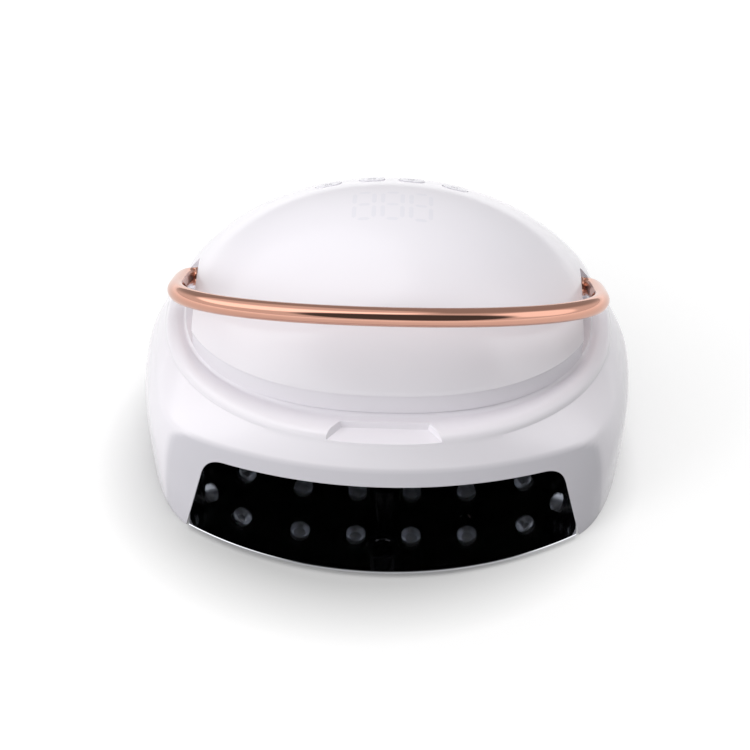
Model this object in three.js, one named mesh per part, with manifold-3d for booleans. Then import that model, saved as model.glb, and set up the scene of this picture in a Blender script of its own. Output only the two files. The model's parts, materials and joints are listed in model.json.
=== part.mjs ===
// Cordless nail lamp: a domed cover over a flared body with an open hand cavity,
// a rose gold bail handle, four push keys, LED rows in a dark liner and a mirror base plate.
// Millimetres. +Z is up, the cavity opens towards -Y, and the origin is under the middle.
import * as THREE from 'three';
import { mergeVertices } from 'three/addons/utils/BufferGeometryUtils.js';
import Module from 'manifold-3d';

const wasm = await Module();
wasm.setup();

// Driving dimensions
const bodyHalfWidth = 127; // widest half width of the body
const bodyHalfDepth = 115; // to the back of the body and to the front edge of the base plate
const cavityHeight = 60; // liner ceiling
const lintelDrop = 18.5; // from the ceiling to the top of the hand opening
const deckRise = 8; // from the ceiling to the foot of the wall under the dome's rim
const riserHeight = 12; // of that wall
const domeRise = 51; // from the rim to the top of the dome
const legWidth = 29; // from the hand cavity to the widest place of the body
const rearRoom = 53; // from the hand cavity to the back of the body

const lintelHeight = cavityHeight - lintelDrop;
const riserFootHeight = cavityHeight + deckRise;
const rimHeight = riserFootHeight + riserHeight;
const apexHeight = rimHeight + domeRise;
const cavityHalfWidth = bodyHalfWidth - legWidth;
const cavityRear = bodyHalfDepth - rearRoom;

// Walls and clearances
const shellWall = 2.5;
const linerWall = 1.8;
const restGap = 0.3; // between pieces that touch
const slideGap = 0.35; // between pieces that move past each other
const overrun = 3; // how far a cutter runs past what it cuts

// Body: plan and side profile
const planCentreY = 10; // where the rings of the body and dome are centred
const bulgeHeight = 30; // height of the widest ring
const bulgeRadius = 300; // side profile radius below that ring
const bulgeTopRadius = 34; // and above it
const bulgeBackRadius = 50; // the back's profile radius above it
const flankCentreY = 15; // the body is widest here
const flankReach = 176; // front half length of the ellipse that the flanks follow
const faceSetback = 19.5; // the front face stands this far behind the plate's edge at the lintel
const faceRadius = 230; // the front face is this round in plan
const faceLeanShare = 0.311; // it comes forward by this share of each drop in height
const ridgeSideInset = 12; // the ridge lies inside the body's widest line
const ridgeEndInset = 17;
const ridgeBackInset = 28;
const ridgeDrop = 1.2; // top of the ridge, under the foot of the riser
const ridgeRise = 4.8; // height in which the ridge turns over
const ridgeRound = 6; // and the width
const shoulderRise = 11.5; // height of the shoulder under the ridge
const gutterDip = 0.6; // the gutter floor is this much lower than the ridge
const ridgeShape = 2.15; // roundness exponent of its plan, 2 is an ellipse
const shoulderShape = 1.15; // and of the shoulder's profile, 1 is straight
const cornerSharpness = 24;
const skirtShares = [0.25, 0.5, 0.77, 1]; // heights of the rings below the shoulder
const shoulderShares = [0.3, 0.55, 0.8, 1]; // heights of the rings on the shoulder
const ridgeTurns = [45, 90];

const faceFront = bodyHalfDepth - faceSetback;
const ridgeHalfWidth = bodyHalfWidth - ridgeSideInset;
const ridgeHalfDepth = bodyHalfDepth - ridgeEndInset;
const ridgeBackDepth = bodyHalfDepth - ridgeBackInset;
const ridgeHeight = riserFootHeight - ridgeDrop;
const ridgeFootHeight = ridgeHeight - ridgeRise;
const shoulderHeight = ridgeFootHeight - shoulderRise;

// Dome
const domeCentreY = 8.5;
const domeSink = 48; // from the rim down to the ellipsoid's own centre
const domeSideInset = 7; // the ellipsoid's own reach, inside the body's
const domeEndInset = 19;
const rimFlatShare = 0.047; // the rim is this much shallower than the ellipsoid
const rimShapeGain = 0.3; // and this much squarer
const rimLip = 0.8; // height of the rim's edge
const rimOverhang = 1.1; // the rim stands out over the riser
const domeOuterShares = [0, 0.14, 0.29, 0.44, 0.59, 0.73, 0.86, 0.96]; // of the turn from rim to apex
const domeInnerShares = [0, 0.2, 0.4, 0.6, 0.78, 0.93];

const domeBase = rimHeight - domeSink;
const domeHalfWidth = bodyHalfWidth - domeSideInset;
const domeHalfDepth = bodyHalfDepth - domeEndInset;

// Handle and its pockets
const tubeRadius = 4.65;
const tubeWall = 1.1;
const archOffset = 7.2; // from the pocket wall to the bail's widest centreline
const archReach = 91; // from the pivot line to the middle of the bail
const archStart = 30; // the bail is widest this far from the pivot line
const archShape = 2.2;
const archEndShare = 0.2; // of each half of the bail, taken by its turned-in end
const archElbowShare = 0.35; // how soon the turned-in end straightens
const handleAngle = 28; // degrees above level at rest
const pivotY = 12;
const pivotRise = 4; // pivot line over the rim
const pocketLip = 0.35; // the pocket's flat wall stands this far over the pivot's collar
const pocketRear = 22;
const pocketFront = 60;
const pivotCollar = 1.6;
const pivotCollarRadius = 4.9;
const pivotShankRadius = 2.4;
const pivotSpigot = 0.7;
const pivotSpigotRadius = 2;
const pivotTail = 8; // shank length inside the pocket wall
const nutRadius = 4.6;
const nutSides = 6;
const nutHeight = 3.2;
const washerRadius = 3.7;
const washerHeight = 1;

const pivotHeight = rimHeight + pivotRise;
const pocketTop = pivotHeight + pivotCollarRadius + pocketLip;
const pocketSlice = ((pocketTop - domeBase) / (apexHeight - domeBase)) ** 2
  + ((pivotY - domeCentreY) / domeHalfDepth) ** 2;
const pocketHalfWidth = domeHalfWidth * Math.sqrt(1 - pocketSlice); // flat wall of each pocket
const archHalfWidth = pocketHalfWidth + archOffset;

// Keys and their board
const keyLength = 13;
const keyWidth = 8;
const keyTilt = 25.5; // degrees from upright, towards the back
const keyInnerShares = [0.085, 0.418]; // of the dome's half width and half depth
const keyOuterShares = [0.271, 0.395];
const keyProud = 0.35; // keys stand this far out of the dome
const keyFlange = 1.2; // width of the rim that keeps a key in
const keyFlangeHeight = 0.9;
const keyTravel = 0.5;
const keyStemRadius = 1.8;
const keyBoardDrop = 11; // from the inner keys' faces to the board
const keyBoardMargin = 13.5; // from the outer keys' middle to the end of their board
const keyBoardHalfWidth = 7;
const boardThickness = 1.6;
const switchHalfWidth = 3;
const switchHeight = 2.2;

const keyOuterX = domeHalfWidth * keyOuterShares[0];
const keyBoardHalfLength = keyOuterX + keyBoardMargin;

// Control board and display
const controlBoardDrop = 20; // under the top of the dome
const controlBoardShares = [0.433, 0.276, 0.286]; // of the dome: half length, front, rear
const boardPostInset = 5;
const boardPostRadius = 3.2;
const displayInset = 16; // from the ends of the control board
const displayHalfDepth = 13;
const displayY = 6;
const displayHeight = 7;
const digitWidthShare = 0.7; // of the display's half depth
const digitDepthShare = 0.8;
const digitRise = 0.5; // the digits stand over their frame
const chipHalfWidth = 5;
const chipHeight = 1.4;

const controlBoardHeight = apexHeight - controlBoardDrop;
const controlBoardHalfLength = domeHalfWidth * controlBoardShares[0];
const controlBoardFront = domeCentreY - domeHalfDepth * controlBoardShares[1];
const controlBoardRear = domeCentreY + domeHalfDepth * controlBoardShares[2];
const boardPostX = controlBoardHalfLength - boardPostInset;
const displayHalfLength = controlBoardHalfLength - displayInset;

// Finger recess in the front of the gutter
const recessBackHalfWidth = 21;
const recessFrontHalfWidth = 31;
const recessSetback = 22; // its front line, behind the plate's edge
const recessLength = 16.5;
const recessDepth = 3.4; // under the ridge
const recessDraft = 2; // the side walls slope by this much
const recessWall = 1.2; // under the recess, over the liner

const recessFrontY = recessSetback - bodyHalfDepth;
const recessBackY = recessFrontY + recessLength;
const recessFloor = ridgeHeight - recessDepth;

// Hand opening
const openingGap = 0.6; // at the ground, outside the cavity
const openingTaper = 11.1; // narrower at the top by this much each side
const openingCornerRadius = 9;
const openingReach = 55; // the opening's cut, from the plate's edge inwards

const openingHalfWidth = cavityHalfWidth + openingGap;
const openingTopHalfWidth = openingHalfWidth - openingTaper;
const openingDepth = bodyHalfDepth - openingReach;

// Liner, posts and base flange
const cavityShape = 3;
const cavityRearRadius = 38;
const flangeBottom = 4;
const flangeThickness = 2;
const postRadius = 8.6;
const postLength = 19; // under the ceiling
const postWellRadius = 5;
const postWellFloor = 5; // from the ceiling down to the floor of a post's well
const deckBossRadius = 4.5;
const deckThickness = 2.6;
const deckSkin = 1.5; // left over each liner screw
const postFrontSetback = 53; // behind the plate's edge
const postMiddleY = -15;
const postSideInset = 28; // from the side of the cavity
const postSideY = 11.5;
const screwShank = 1.5;
const screwHead = 3;
const screwHeadHeight = 2;
const screwBite = 5;

const postBottom = cavityHeight - postLength;
const postWellTop = cavityHeight - postWellFloor;
const postFrontY = postFrontSetback - bodyHalfDepth;
const postSideX = cavityHalfWidth - postSideInset;

// LED rows
const ledRadius = 5.1;
const ledLength = 6.5; // a lens stands this far into the cavity
const ledHoleGap = 0.35;
const ledShoulderShare = 0.6; // of its radius, the domed end of a lens
const ledCrownShares = [0.72, 0.16]; // a point on the domed end, out and down
const stripWidth = 9;
const stripThickness = 1.2;
const stripFoot = 20; // the strips end at this height
const ledRowShares = [-0.33, -0.043, 0.243]; // of the body's half depth
const ledAngles = [18, 33, 53, 76.5]; // degrees above level on the arch, each side

const ledRows = ledRowShares.map((share) => bodyHalfDepth * share);

// Batteries on the deck
const cellRadius = 9.2;
const cellLength = 65;
const cellNub = 1.2;
const cellNubRadius = 2.8;
const cellPitch = 20;
const cellRows = 3;
const trayFloor = 1.8;
const trayWall = 1.6;
const trayRise = 9;
const saddleShares = [0.3, 0.75]; // places of the cradle ribs along each half of the tray
const saddleRiseShare = 0.6; // of a cell's radius
const cableHoleReach = 48; // from the middle of the tray to the hole behind it
const strapWidth = 12;
const strapThickness = 1.4;
const strapX = 34;
const trayY = 6;

// Cover screws
const coverBossRadius = 4;
const coverBossAngle = 36; // degrees in plan from the side
const coverBossInset = 9; // from the riser

// Rear panel with the charging socket and the battery switch
const panelHalfWidth = 32;
const panelHalfHeight = 14;
const panelDepth = 8;
const panelCentreHeight = 32;
const socketX = -15;
const socketRadius = 4.6;
const socketFlangeRadius = 6.6;
const socketFlangeHeight = 1.4;
const socketLength = 12;
const socketBore = 2.9;
const socketPinRadius = 0.9;
const socketBoreShare = 0.8; // of its length
const bezelX = 14;
const bezelHalfLength = 10.5;
const bezelHalfWidth = 7.2;
const bezelLip = 1.2;
const bezelWall = 1.6;
const bezelDepth = 11;
const rockerAngle = 9; // degrees each side of level
const rockerCrown = 1.6;
const rockerBody = 4;
const chargeBoardHalfLength = 30;
const chargeBoardDepth = 28;
const chargeBoardGap = 9; // from its rear edge to the panel
const chargeChipHeight = 6;

const panelLow = panelCentreHeight - panelHalfHeight;
const panelHigh = panelCentreHeight + panelHalfHeight;
const panelY = bodyHalfDepth - panelDepth;
const chargeBoardRear = panelY - chargeBoardGap;
const chargeBoardFront = chargeBoardRear - chargeBoardDepth;

// Base plate, feet and magnets
const plateThickness = 1.5;
const plateBottom = 2.2;
const plateGap = 0.6;
const plateBow = 29; // the plate's edge stands this far out over its corners
const footRadius = 7;
const magnetRadius = 4;
const magnetHeight = 3;
const magnetFrontY = -40;
const magnetRearInset = 35; // from the back of the body
const magnetRearShare = 0.7; // of the front magnets' distance from the middle
const footFrontInset = 16; // from the side of the cavity
const footRearInset = 20;
const footEndInset = 53; // from the plate's edge
const footBackInset = 43; // from the back of the body

// Hand sensor in the liner's ceiling
const sensorRadius = 3;
const sensorTipShare = 0.7;
const sensorFlange = 1.5;
const sensorY = -22;
const sensorX = 44;

// Facets round each kind of piece
const planSegments = 46;
const smallSegments = 12;
const lensSegments = 8;
const cellSegments = 16;
const pillSegments = 4;
const roundSegments = 6; // on each round corner of an outline
const bowSegments = 24; // along the front edge of the base plate
const archSteps = 22;
const tubeSides = 12;
const tubeSteps = 28;

const mergeTolerance = 1e-4;
const rad = THREE.MathUtils.degToRad;

// Finishes
const finish = (color, roughness, metalness) => ({ color, roughness, metalness });
const white = finish(0xf3f1f6, 0.18, 0);
const black = finish(0x0d0d10, 0.15, 0);
const roseGold = finish(0xd9967c, 0.12, 1);
const mirror = finish(0xd8dade, 0.04, 1);
const steel = finish(0xb9bcc2, 0.35, 1);
const lensClear = finish(0xcfd2da, 0.08, 0);
const boardGreen = finish(0x1f5a3c, 0.5, 0);
const rubber = finish(0x1b1b1d, 0.8, 0);
const cellWrap = finish(0x2f6fa8, 0.4, 0);
const trayGrey = finish(0x55585e, 0.5, 0);

const group = new THREE.Group();

// Turn a closed geometry into a solid that can be joined and cut.
function solid(geometry) {
  const bare = geometry.clone();
  bare.deleteAttribute('normal');
  bare.deleteAttribute('uv');
  const merged = mergeVertices(bare, mergeTolerance);
  const position = merged.attributes.position;
  const index = Array.from(merged.index.array);
  const a = new THREE.Vector3();
  const b = new THREE.Vector3();
  const c = new THREE.Vector3();
  const kept = [];
  let volume = 0;
  for (let i = 0; i < index.length; i += 3) {
    const [p, q, r] = [index[i], index[i + 1], index[i + 2]];
    if (p === q || q === r || p === r) continue;
    kept.push(p, q, r);
    a.fromBufferAttribute(position, p);
    b.fromBufferAttribute(position, q);
    c.fromBufferAttribute(position, r);
    volume += a.dot(b.cross(c));
  }
  if (volume < 0) kept.reverse();
  return new wasm.Manifold(new wasm.Mesh({
    numProp: 3,
    vertProperties: new Float32Array(position.array),
    triVerts: new Uint32Array(kept),
  }));
}

// Give a solid back as a geometry.
function geometryOf(body) {
  const mesh = body.getMesh();
  const geometry = new THREE.BufferGeometry();
  const count = mesh.vertProperties.length / mesh.numProp;
  const position = new Float32Array(count * 3);
  for (let i = 0; i < count; i += 1) {
    for (let k = 0; k < 3; k += 1) position[i * 3 + k] = mesh.vertProperties[i * mesh.numProp + k];
  }
  geometry.setAttribute('position', new THREE.BufferAttribute(position, 3));
  geometry.setIndex(new THREE.BufferAttribute(new Uint32Array(mesh.triVerts), 1));
  return geometry;
}

const join = (...bodies) => bodies.reduce((whole, body) => whole.add(body));
const cut = (body, ...tools) => tools.reduce((left, tool) => left.subtract(tool), body);

// Add one named piece to the model.
function addPiece(name, body, { color, roughness, metalness }) {
  const geometry = geometryOf(body);
  geometry.computeVertexNormals();
  const mesh = new THREE.Mesh(geometry, new THREE.MeshStandardMaterial({ color, roughness, metalness }));
  mesh.name = name;
  group.add(mesh);
}

// A box between two corners.
function box(low, high) {
  const size = high.map((value, axis) => value - low[axis]);
  const middle = high.map((value, axis) => (value + low[axis]) / 2);
  return solid(new THREE.BoxGeometry(...size).translate(...middle));
}

// An upright disc or rod.
function rod(radius, bottom, top, x = 0, y = 0, segments = smallSegments) {
  const geometry = new THREE.CylinderGeometry(radius, radius, top - bottom, segments);
  return solid(geometry.rotateX(Math.PI / 2).translate(x, y, (top + bottom) / 2));
}

// A turned piece about +Z, from [radius, height] points that start and end on the axis.
function turned(points, segments = smallSegments) {
  const profile = points.map(([radius, height]) => new THREE.Vector2(radius, height));
  return new THREE.LatheGeometry(profile, segments).rotateX(Math.PI / 2);
}

// An outline in X and Z, pushed along Y.
function slabAlongY(shape, from, to) {
  const options = { depth: to - from, bevelEnabled: false, curveSegments: roundSegments };
  return solid(new THREE.ExtrudeGeometry(shape, options).rotateX(Math.PI / 2).translate(0, to, 0));
}

// An outline in X and Y, pushed up.
function slab(shape, bottom, top, curveSegments = roundSegments) {
  const options = { depth: top - bottom, bevelEnabled: false, curveSegments };
  return solid(new THREE.ExtrudeGeometry(shape, options).translate(0, 0, bottom));
}

// Radius of a superellipse in a direction given by its cosine and sine.
const ovalRadius = (c, s, a, b, n) => (Math.abs(c / a) ** n + Math.abs(s / b) ** n) ** (-1 / n);

// Distance from the plan centre to the flanks and back, two half ellipses that meet where they are widest.
function flankRadius(c, s, a, front, rear) {
  const shift = planCentreY - flankCentreY;
  const reach = (depth) => {
    const p = (c / a) ** 2 + (s / depth) ** 2;
    const q = (s * shift) / depth ** 2;
    const r = (shift / depth) ** 2 - 1;
    return (-q + Math.sqrt(q * q - p * r)) / p;
  };
  const forward = reach(front);
  return forward * s + shift < 0 ? forward : reach(rear);
}

// Distance from the plan centre to the front face, a round wall that leans back.
function faceRadiusAt(c, s, height) {
  const front = -faceFront + (height - lintelHeight) * faceLeanShare;
  const shift = planCentreY - front - faceRadius;
  return -s * shift + Math.sqrt((s * shift) ** 2 - shift ** 2 + faceRadius ** 2);
}

// The flared lower part of the body at one height.
function skirtRadius(c, s, height) {
  const over = Math.max(height - bulgeHeight, 0) ** 2 / 2;
  const under = Math.max(bulgeHeight - height, 0) ** 2 / 2;
  const a = bodyHalfWidth - over / bulgeTopRadius - under / bulgeRadius;
  const rear = bodyHalfDepth - flankCentreY - over / bulgeBackRadius;
  const flank = flankRadius(c, s, a, flankReach, rear);
  const face = faceRadiusAt(c, s, height);
  return (flank ** -cornerSharpness + face ** -cornerSharpness) ** (-1 / cornerSharpness);
}

// Rings joined to a closed solid, each ring a height and a radius for every direction.
function loft(rings, centreY) {
  const profile = [new THREE.Vector2(0, 0)];
  rings.forEach((ring, i) => profile.push(new THREE.Vector2(1, i)));
  profile.push(new THREE.Vector2(0, rings.length));
  const geometry = new THREE.LatheGeometry(profile, planSegments);
  const position = geometry.attributes.position;
  for (let k = 0; k < position.count; k += 1) {
    const level = k % profile.length;
    const angle = ((Math.floor(k / profile.length) % planSegments) / planSegments) * 2 * Math.PI;
    const ring = rings[Math.min(Math.max(level - 1, 0), rings.length - 1)];
    const onAxis = level === 0 || level === profile.length - 1;
    const [c, s] = [Math.sin(angle), Math.cos(angle)];
    const radius = onAxis ? 0 : ring.radius(c, s);
    position.setXYZ(k, radius * c, centreY + radius * s, ring.height);
  }
  return solid(geometry);
}

// The body, drawn in by an inset and closed at the top.
function bodySolid(inset, bottom, top) {
  const rings = [];
  const skirt = (height) => rings.push({
    height: Math.min(height, top),
    radius: (c, s) => skirtRadius(c, s, height) - inset,
  });
  [bottom, ...skirtShares.map((share) => shoulderHeight * share)].forEach(skirt);
  const ridge = (c, s, out) => {
    const depth = s > 0 ? ridgeBackDepth : ridgeHalfDepth;
    return ovalRadius(c, s, ridgeHalfWidth, depth, ridgeShape) + out;
  };
  shoulderShares.forEach((share) => {
    const blend = 1 - share ** shoulderShape;
    rings.push({
      height: Math.min(shoulderHeight + (ridgeFootHeight - shoulderHeight) * share, top),
      radius: (c, s) => {
        const low = skirtRadius(c, s, shoulderHeight);
        const high = ridge(c, s, 0);
        return high + (low - high) * blend - inset;
      },
    });
  });
  return { rings, ridge };
}

function bodyOuter() {
  const { rings, ridge } = bodySolid(0, 0, riserFootHeight);
  const round = (turn) => rings.push({
    height: ridgeFootHeight + (ridgeHeight - ridgeFootHeight) * Math.sin(rad(turn)),
    radius: (c, s) => ridge(c, s, ridgeRound * (Math.cos(rad(turn)) - 1)),
  });
  ridgeTurns.forEach(round);
  const foot = (c, s) => riserRadius(c, s);
  const gutterWidth = (c, s) => ridge(c, s, -ridgeRound) - foot(c, s);
  rings.push({
    height: ridgeHeight - gutterDip,
    radius: (c, s) => foot(c, s) + gutterWidth(c, s) / 2,
  });
  rings.push({ height: riserFootHeight - restGap, radius: (c, s) => foot(c, s) + restGap });
  return loft(rings, planCentreY);
}

function bodyInner(inset, bottom, top) {
  const { rings, ridge } = bodySolid(inset, bottom, top);
  if (top > ridgeFootHeight) {
    rings.push({ height: top, radius: (c, s) => ridge(c, s, -ridgeRound / 2 - inset) });
  }
  return loft(rings, planCentreY);
}

// The dome's own ring at a height, drawn in by an inset.
function domeRadius(c, s, height, inset) {
  const tall = apexHeight - domeBase - inset;
  const slice = Math.sqrt(Math.max(1 - ((height - domeBase) / tall) ** 2, 0));
  const down = (apexHeight - height) / (apexHeight - rimHeight);
  const depth = (domeHalfDepth - inset) * slice * (1 - rimFlatShare * down);
  return ovalRadius(c, s, (domeHalfWidth - inset) * slice, depth, 2 + rimShapeGain * down);
}

function riserRadius(c, s, inset = 0) {
  return domeRadius(c, s, rimHeight, 0) - rimOverhang - inset;
}

// Heights of the dome's rings, closer together towards the top.
function domeHeights(from, inset) {
  const tall = apexHeight - domeBase - inset;
  const start = Math.asin((from - domeBase) / tall);
  const shares = inset > 0 ? domeInnerShares : domeOuterShares;
  return shares.map((share) => domeBase + tall * Math.sin(start + (Math.PI / 2 - start) * share));
}

function domeSolid(inset, bottom) {
  const rings = [
    { height: bottom, radius: (c, s) => riserRadius(c, s, inset) },
    { height: rimHeight - rimLip, radius: (c, s) => riserRadius(c, s, inset) },
  ];
  if (inset <= 0) {
    rings.push({ height: rimHeight - rimLip, radius: (c, s) => domeRadius(c, s, rimHeight, inset) });
  }
  domeHeights(rimHeight, inset).forEach((height) => {
    rings.push({ height, radius: (c, s) => domeRadius(c, s, height, inset) });
  });
  return loft(rings, domeCentreY);
}

// Height of the dome's surface over a place in plan.
function domeTop(x, y, inset = 0) {
  const a = domeHalfWidth - inset;
  const b = domeHalfDepth - inset;
  const tall = apexHeight - domeBase - inset;
  return domeBase + tall * Math.sqrt(1 - (x / a) ** 2 - ((y - domeCentreY) / b) ** 2);
}

// Pills lie in the key board's plane: this moves a piece from that plane to its place.
const keyFrame = new THREE.Matrix4().makeRotationX(-rad(keyTilt));
const keyNormal = new THREE.Vector3(0, Math.sin(rad(keyTilt)), Math.cos(rad(keyTilt)));
const keyPlaces = [
  ['key_1', -1, keyOuterShares],
  ['key_2', -1, keyInnerShares],
  ['key_3', 1, keyInnerShares],
  ['key_4', 1, keyOuterShares],
].map(([name, side, [out, back]]) => {
  const [x, y] = [side * domeHalfWidth * out, domeCentreY + domeHalfDepth * back];
  return { name, point: new THREE.Vector3(x, y, domeTop(x, y)) };
});
const keyBoardLevel = keyPlaces[1].point.dot(keyNormal) - keyBoardDrop;
const inKeyFrame = (point) => point.clone().applyMatrix4(keyFrame.clone().invert());

function pillShape(length, width) {
  const shape = new THREE.Shape();
  const run = (length - width) / 2;
  shape.absarc(run, 0, width / 2, -Math.PI / 2, Math.PI / 2, false);
  shape.absarc(-run, 0, width / 2, Math.PI / 2, (3 * Math.PI) / 2, false);
  return shape;
}

// A pill-shaped prism over one key place, between two levels along the keys' travel.
function pillPrism(place, grow, low, high) {
  const shape = pillShape(keyLength + 2 * grow, keyWidth + 2 * grow);
  const options = { depth: high - low, bevelEnabled: false, curveSegments: pillSegments };
  const local = inKeyFrame(place.point);
  const geometry = new THREE.ExtrudeGeometry(shape, options).translate(local.x, local.y, low);
  return solid(geometry.applyMatrix4(keyFrame));
}

function keyLevels(place) {
  const face = place.point.dot(keyNormal);
  return { face, under: face - shellWall - restGap - keyTravel };
}

// Top cover: dome, rim and riser in one shell, with a flat-walled pocket at each side.
function topCover() {
  const outer = domeSolid(0, riserFootHeight);
  const inner = domeSolid(shellWall, riserFootHeight - overrun);
  const pocket = (side, grow) => {
    const near = pocketHalfWidth - grow;
    const far = bodyHalfWidth;
    const low = [side > 0 ? near : -far, -pocketFront, riserFootHeight - overrun];
    const high = [side > 0 ? far : -near, pocketRear + grow, apexHeight];
    return box(low, high);
  };
  const walls = join(pocket(1, shellWall), pocket(-1, shellWall));
  const hollow = cut(inner, walls);
  let cover = cut(outer, pocket(1, 0), pocket(-1, 0), hollow);
  const posts = coverBossPlaces().map(([x, y]) => rod(coverBossRadius, riserFootHeight, domeTop(x, y), x, y));
  const boardFoot = controlBoardHeight + boardThickness + restGap;
  boardPostPlaces().forEach(([x, y]) => posts.push(rod(boardPostRadius, boardFoot, domeTop(x, y), x, y)));
  const boardTop = keyBoardLevel + restGap;
  [-1, 1].forEach((side) => {
    const x = side * (keyBoardHalfLength - boardPostRadius);
    const y = keyPlaces[0].point.y;
    const top = new THREE.Vector3(x, y, domeTop(x, y)).dot(keyNormal);
    const middle = inKeyFrame(new THREE.Vector3(x, y, domeTop(x, y))).y;
    const tall = top - boardTop;
    const geometry = new THREE.CylinderGeometry(boardPostRadius, boardPostRadius, tall, smallSegments);
    geometry.rotateX(Math.PI / 2).translate(x, middle - boardPostRadius, (top + boardTop) / 2);
    posts.push(solid(geometry.applyMatrix4(keyFrame)));
  });
  cover = join(cover, join(...posts).intersect(domeSolid(shellWall / 2, riserFootHeight)));
  const screwHoles = coverBossPlaces().map(([x, y]) => (
    rod(screwShank + restGap, riserFootHeight - overrun, riserFootHeight + screwBite + restGap, x, y)
  ));
  const wells = keyPlaces.map((place) => {
    const { face, under } = keyLevels(place);
    return pillPrism(place, slideGap, under - overrun, face + overrun);
  });
  const rooms = keyPlaces.map((place) => {
    const { face } = keyLevels(place);
    const reach = keyFlange + slideGap;
    return pillPrism(place, reach, keyBoardLevel, face - shellWall - restGap);
  });
  const shaft = pivotShankRadius + slideGap;
  const bores = [-1, 1].map((side) => (
    rodAlongX(shaft, side * (pocketHalfWidth - 2 * shellWall), side * bodyHalfWidth)
  ));
  return cut(cover, ...screwHoles, ...wells, ...rooms, ...bores);
}

function coverBossPlaces() {
  return [1, -1].flatMap((sideX) => [1, -1].map((sideY) => {
    const [c, s] = [Math.cos(rad(coverBossAngle)) * sideX, Math.sin(rad(coverBossAngle)) * sideY];
    const reach = riserRadius(c, s) - coverBossInset;
    return [reach * c, domeCentreY + reach * s];
  }));
}

function boardPostPlaces() {
  const inset = 2 * boardPostRadius;
  return [1, -1].flatMap((side) => [controlBoardFront + inset, controlBoardRear - inset]
    .map((y) => [side * boardPostX, y]));
}

// A rod along X between two places, at the pivot line.
function rodAlongX(radius, from, to, segments = smallSegments) {
  const geometry = new THREE.CylinderGeometry(radius, radius, Math.abs(to - from), segments);
  geometry.rotateZ(Math.PI / 2).translate((from + to) / 2, pivotY, pivotHeight);
  return solid(geometry);
}

// Outline of the hand opening, seen from the front.
function openingShape() {
  const shape = new THREE.Shape();
  const slope = (openingHalfWidth - openingTopHalfWidth) / lintelHeight;
  const low = openingHalfWidth + slope * overrun;
  const half = openingTopHalfWidth;
  const turn = openingCornerRadius;
  shape.moveTo(-low, -overrun);
  shape.lineTo(low, -overrun);
  shape.lineTo(half + slope * turn, lintelHeight - turn);
  shape.quadraticCurveTo(half, lintelHeight, half - turn, lintelHeight);
  shape.lineTo(-half + turn, lintelHeight);
  shape.quadraticCurveTo(-half, lintelHeight, -half - slope * turn, lintelHeight - turn);
  shape.closePath();
  return shape;
}

// Finger recess, wider towards the front and with sloping walls. Grown, it is the wall under the recess.
function recessTool(grow) {
  const [bottom, top] = [recessFloor - grow, riserFootHeight + overrun - grow];
  const shape = new THREE.Shape();
  shape.moveTo(-recessBackHalfWidth - grow, recessBackY + grow);
  shape.lineTo(recessBackHalfWidth + grow, recessBackY + grow);
  shape.lineTo(recessFrontHalfWidth + grow, recessFrontY);
  shape.lineTo(recessFrontHalfWidth + grow, recessFrontY - overrun);
  shape.lineTo(-recessFrontHalfWidth - grow, recessFrontY - overrun);
  shape.lineTo(-recessFrontHalfWidth - grow, recessFrontY);
  shape.closePath();
  const depth = top - bottom;
  const geometry = new THREE.ExtrudeGeometry(shape, { depth, bevelEnabled: false });
  const position = geometry.attributes.position;
  for (let k = 0; k < position.count; k += 1) {
    if (position.getZ(k) > depth / 2) {
      position.setX(k, position.getX(k) + Math.sign(position.getX(k)) * recessDraft);
      if (position.getY(k) > recessBackY - recessDraft) position.setY(k, position.getY(k) + recessDraft);
    }
  }
  return solid(geometry.translate(0, 0, bottom));
}

// Places of the screw posts in the liner's ceiling.
const postPlaces = [[0, postFrontY], [0, postMiddleY], [-postSideX, postSideY], [postSideX, postSideY]];

// Housing: flared body shell with a deck on top, open below.
function housingShell() {
  const deckBottom = riserFootHeight - restGap - deckThickness;
  let shell = cut(bodyOuter(), bodyInner(shellWall, -overrun, deckBottom));
  shell = cut(shell, slabAlongY(openingShape(), -bodyHalfDepth - overrun, -openingDepth));
  shell = cut(join(shell, recessTool(recessWall).intersect(bodyOuter())), recessTool(0));
  const bosses = postPlaces.map(([x, y]) => (
    rod(deckBossRadius, cavityHeight + linerWall + restGap, deckBottom + deckThickness / 2, x, y)
  ));
  shell = join(shell, ...bosses);
  const holeTop = riserFootHeight - deckSkin;
  const linerHoles = postPlaces.map(([x, y]) => rod(screwShank + restGap, cavityHeight, holeTop, x, y));
  const coverHoles = coverBossPlaces().map(([x, y]) => (
    rod(screwShank + restGap, deckBottom - overrun, riserFootHeight + overrun, x, y)
  ));
  const cablePill = pillShape(4 * cellRadius, 2 * cellRadius);
  const cableHole = slab(cablePill, deckBottom - overrun, riserFootHeight + overrun)
    .translate([0, trayY + cableHoleReach, 0]);
  const behind = bodyHalfDepth + overrun;
  const recess = box([-panelHalfWidth, panelY, panelLow], [panelHalfWidth, behind, panelHigh]);
  const backing = box(
    [-panelHalfWidth - shellWall, panelY - shellWall, panelLow - shellWall],
    [panelHalfWidth + shellWall, bodyHalfDepth, panelHigh + shellWall],
  ).intersect(bodyOuter());
  shell = cut(join(shell, backing), recess, cableHole, ...linerHoles, ...coverHoles);
  const [inside, outside] = [panelY - shellWall - overrun, panelY + overrun];
  const socketHole = rodAlongY(socketRadius + restGap, inside, outside, socketX);
  const half = [bezelHalfLength - bezelLip + restGap, bezelHalfWidth - bezelLip + restGap];
  const switchHole = box(
    [bezelX - half[0], inside, panelCentreHeight - half[1]],
    [bezelX + half[0], outside, panelCentreHeight + half[1]],
  );
  return cut(shell, socketHole, switchHole);
}

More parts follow.
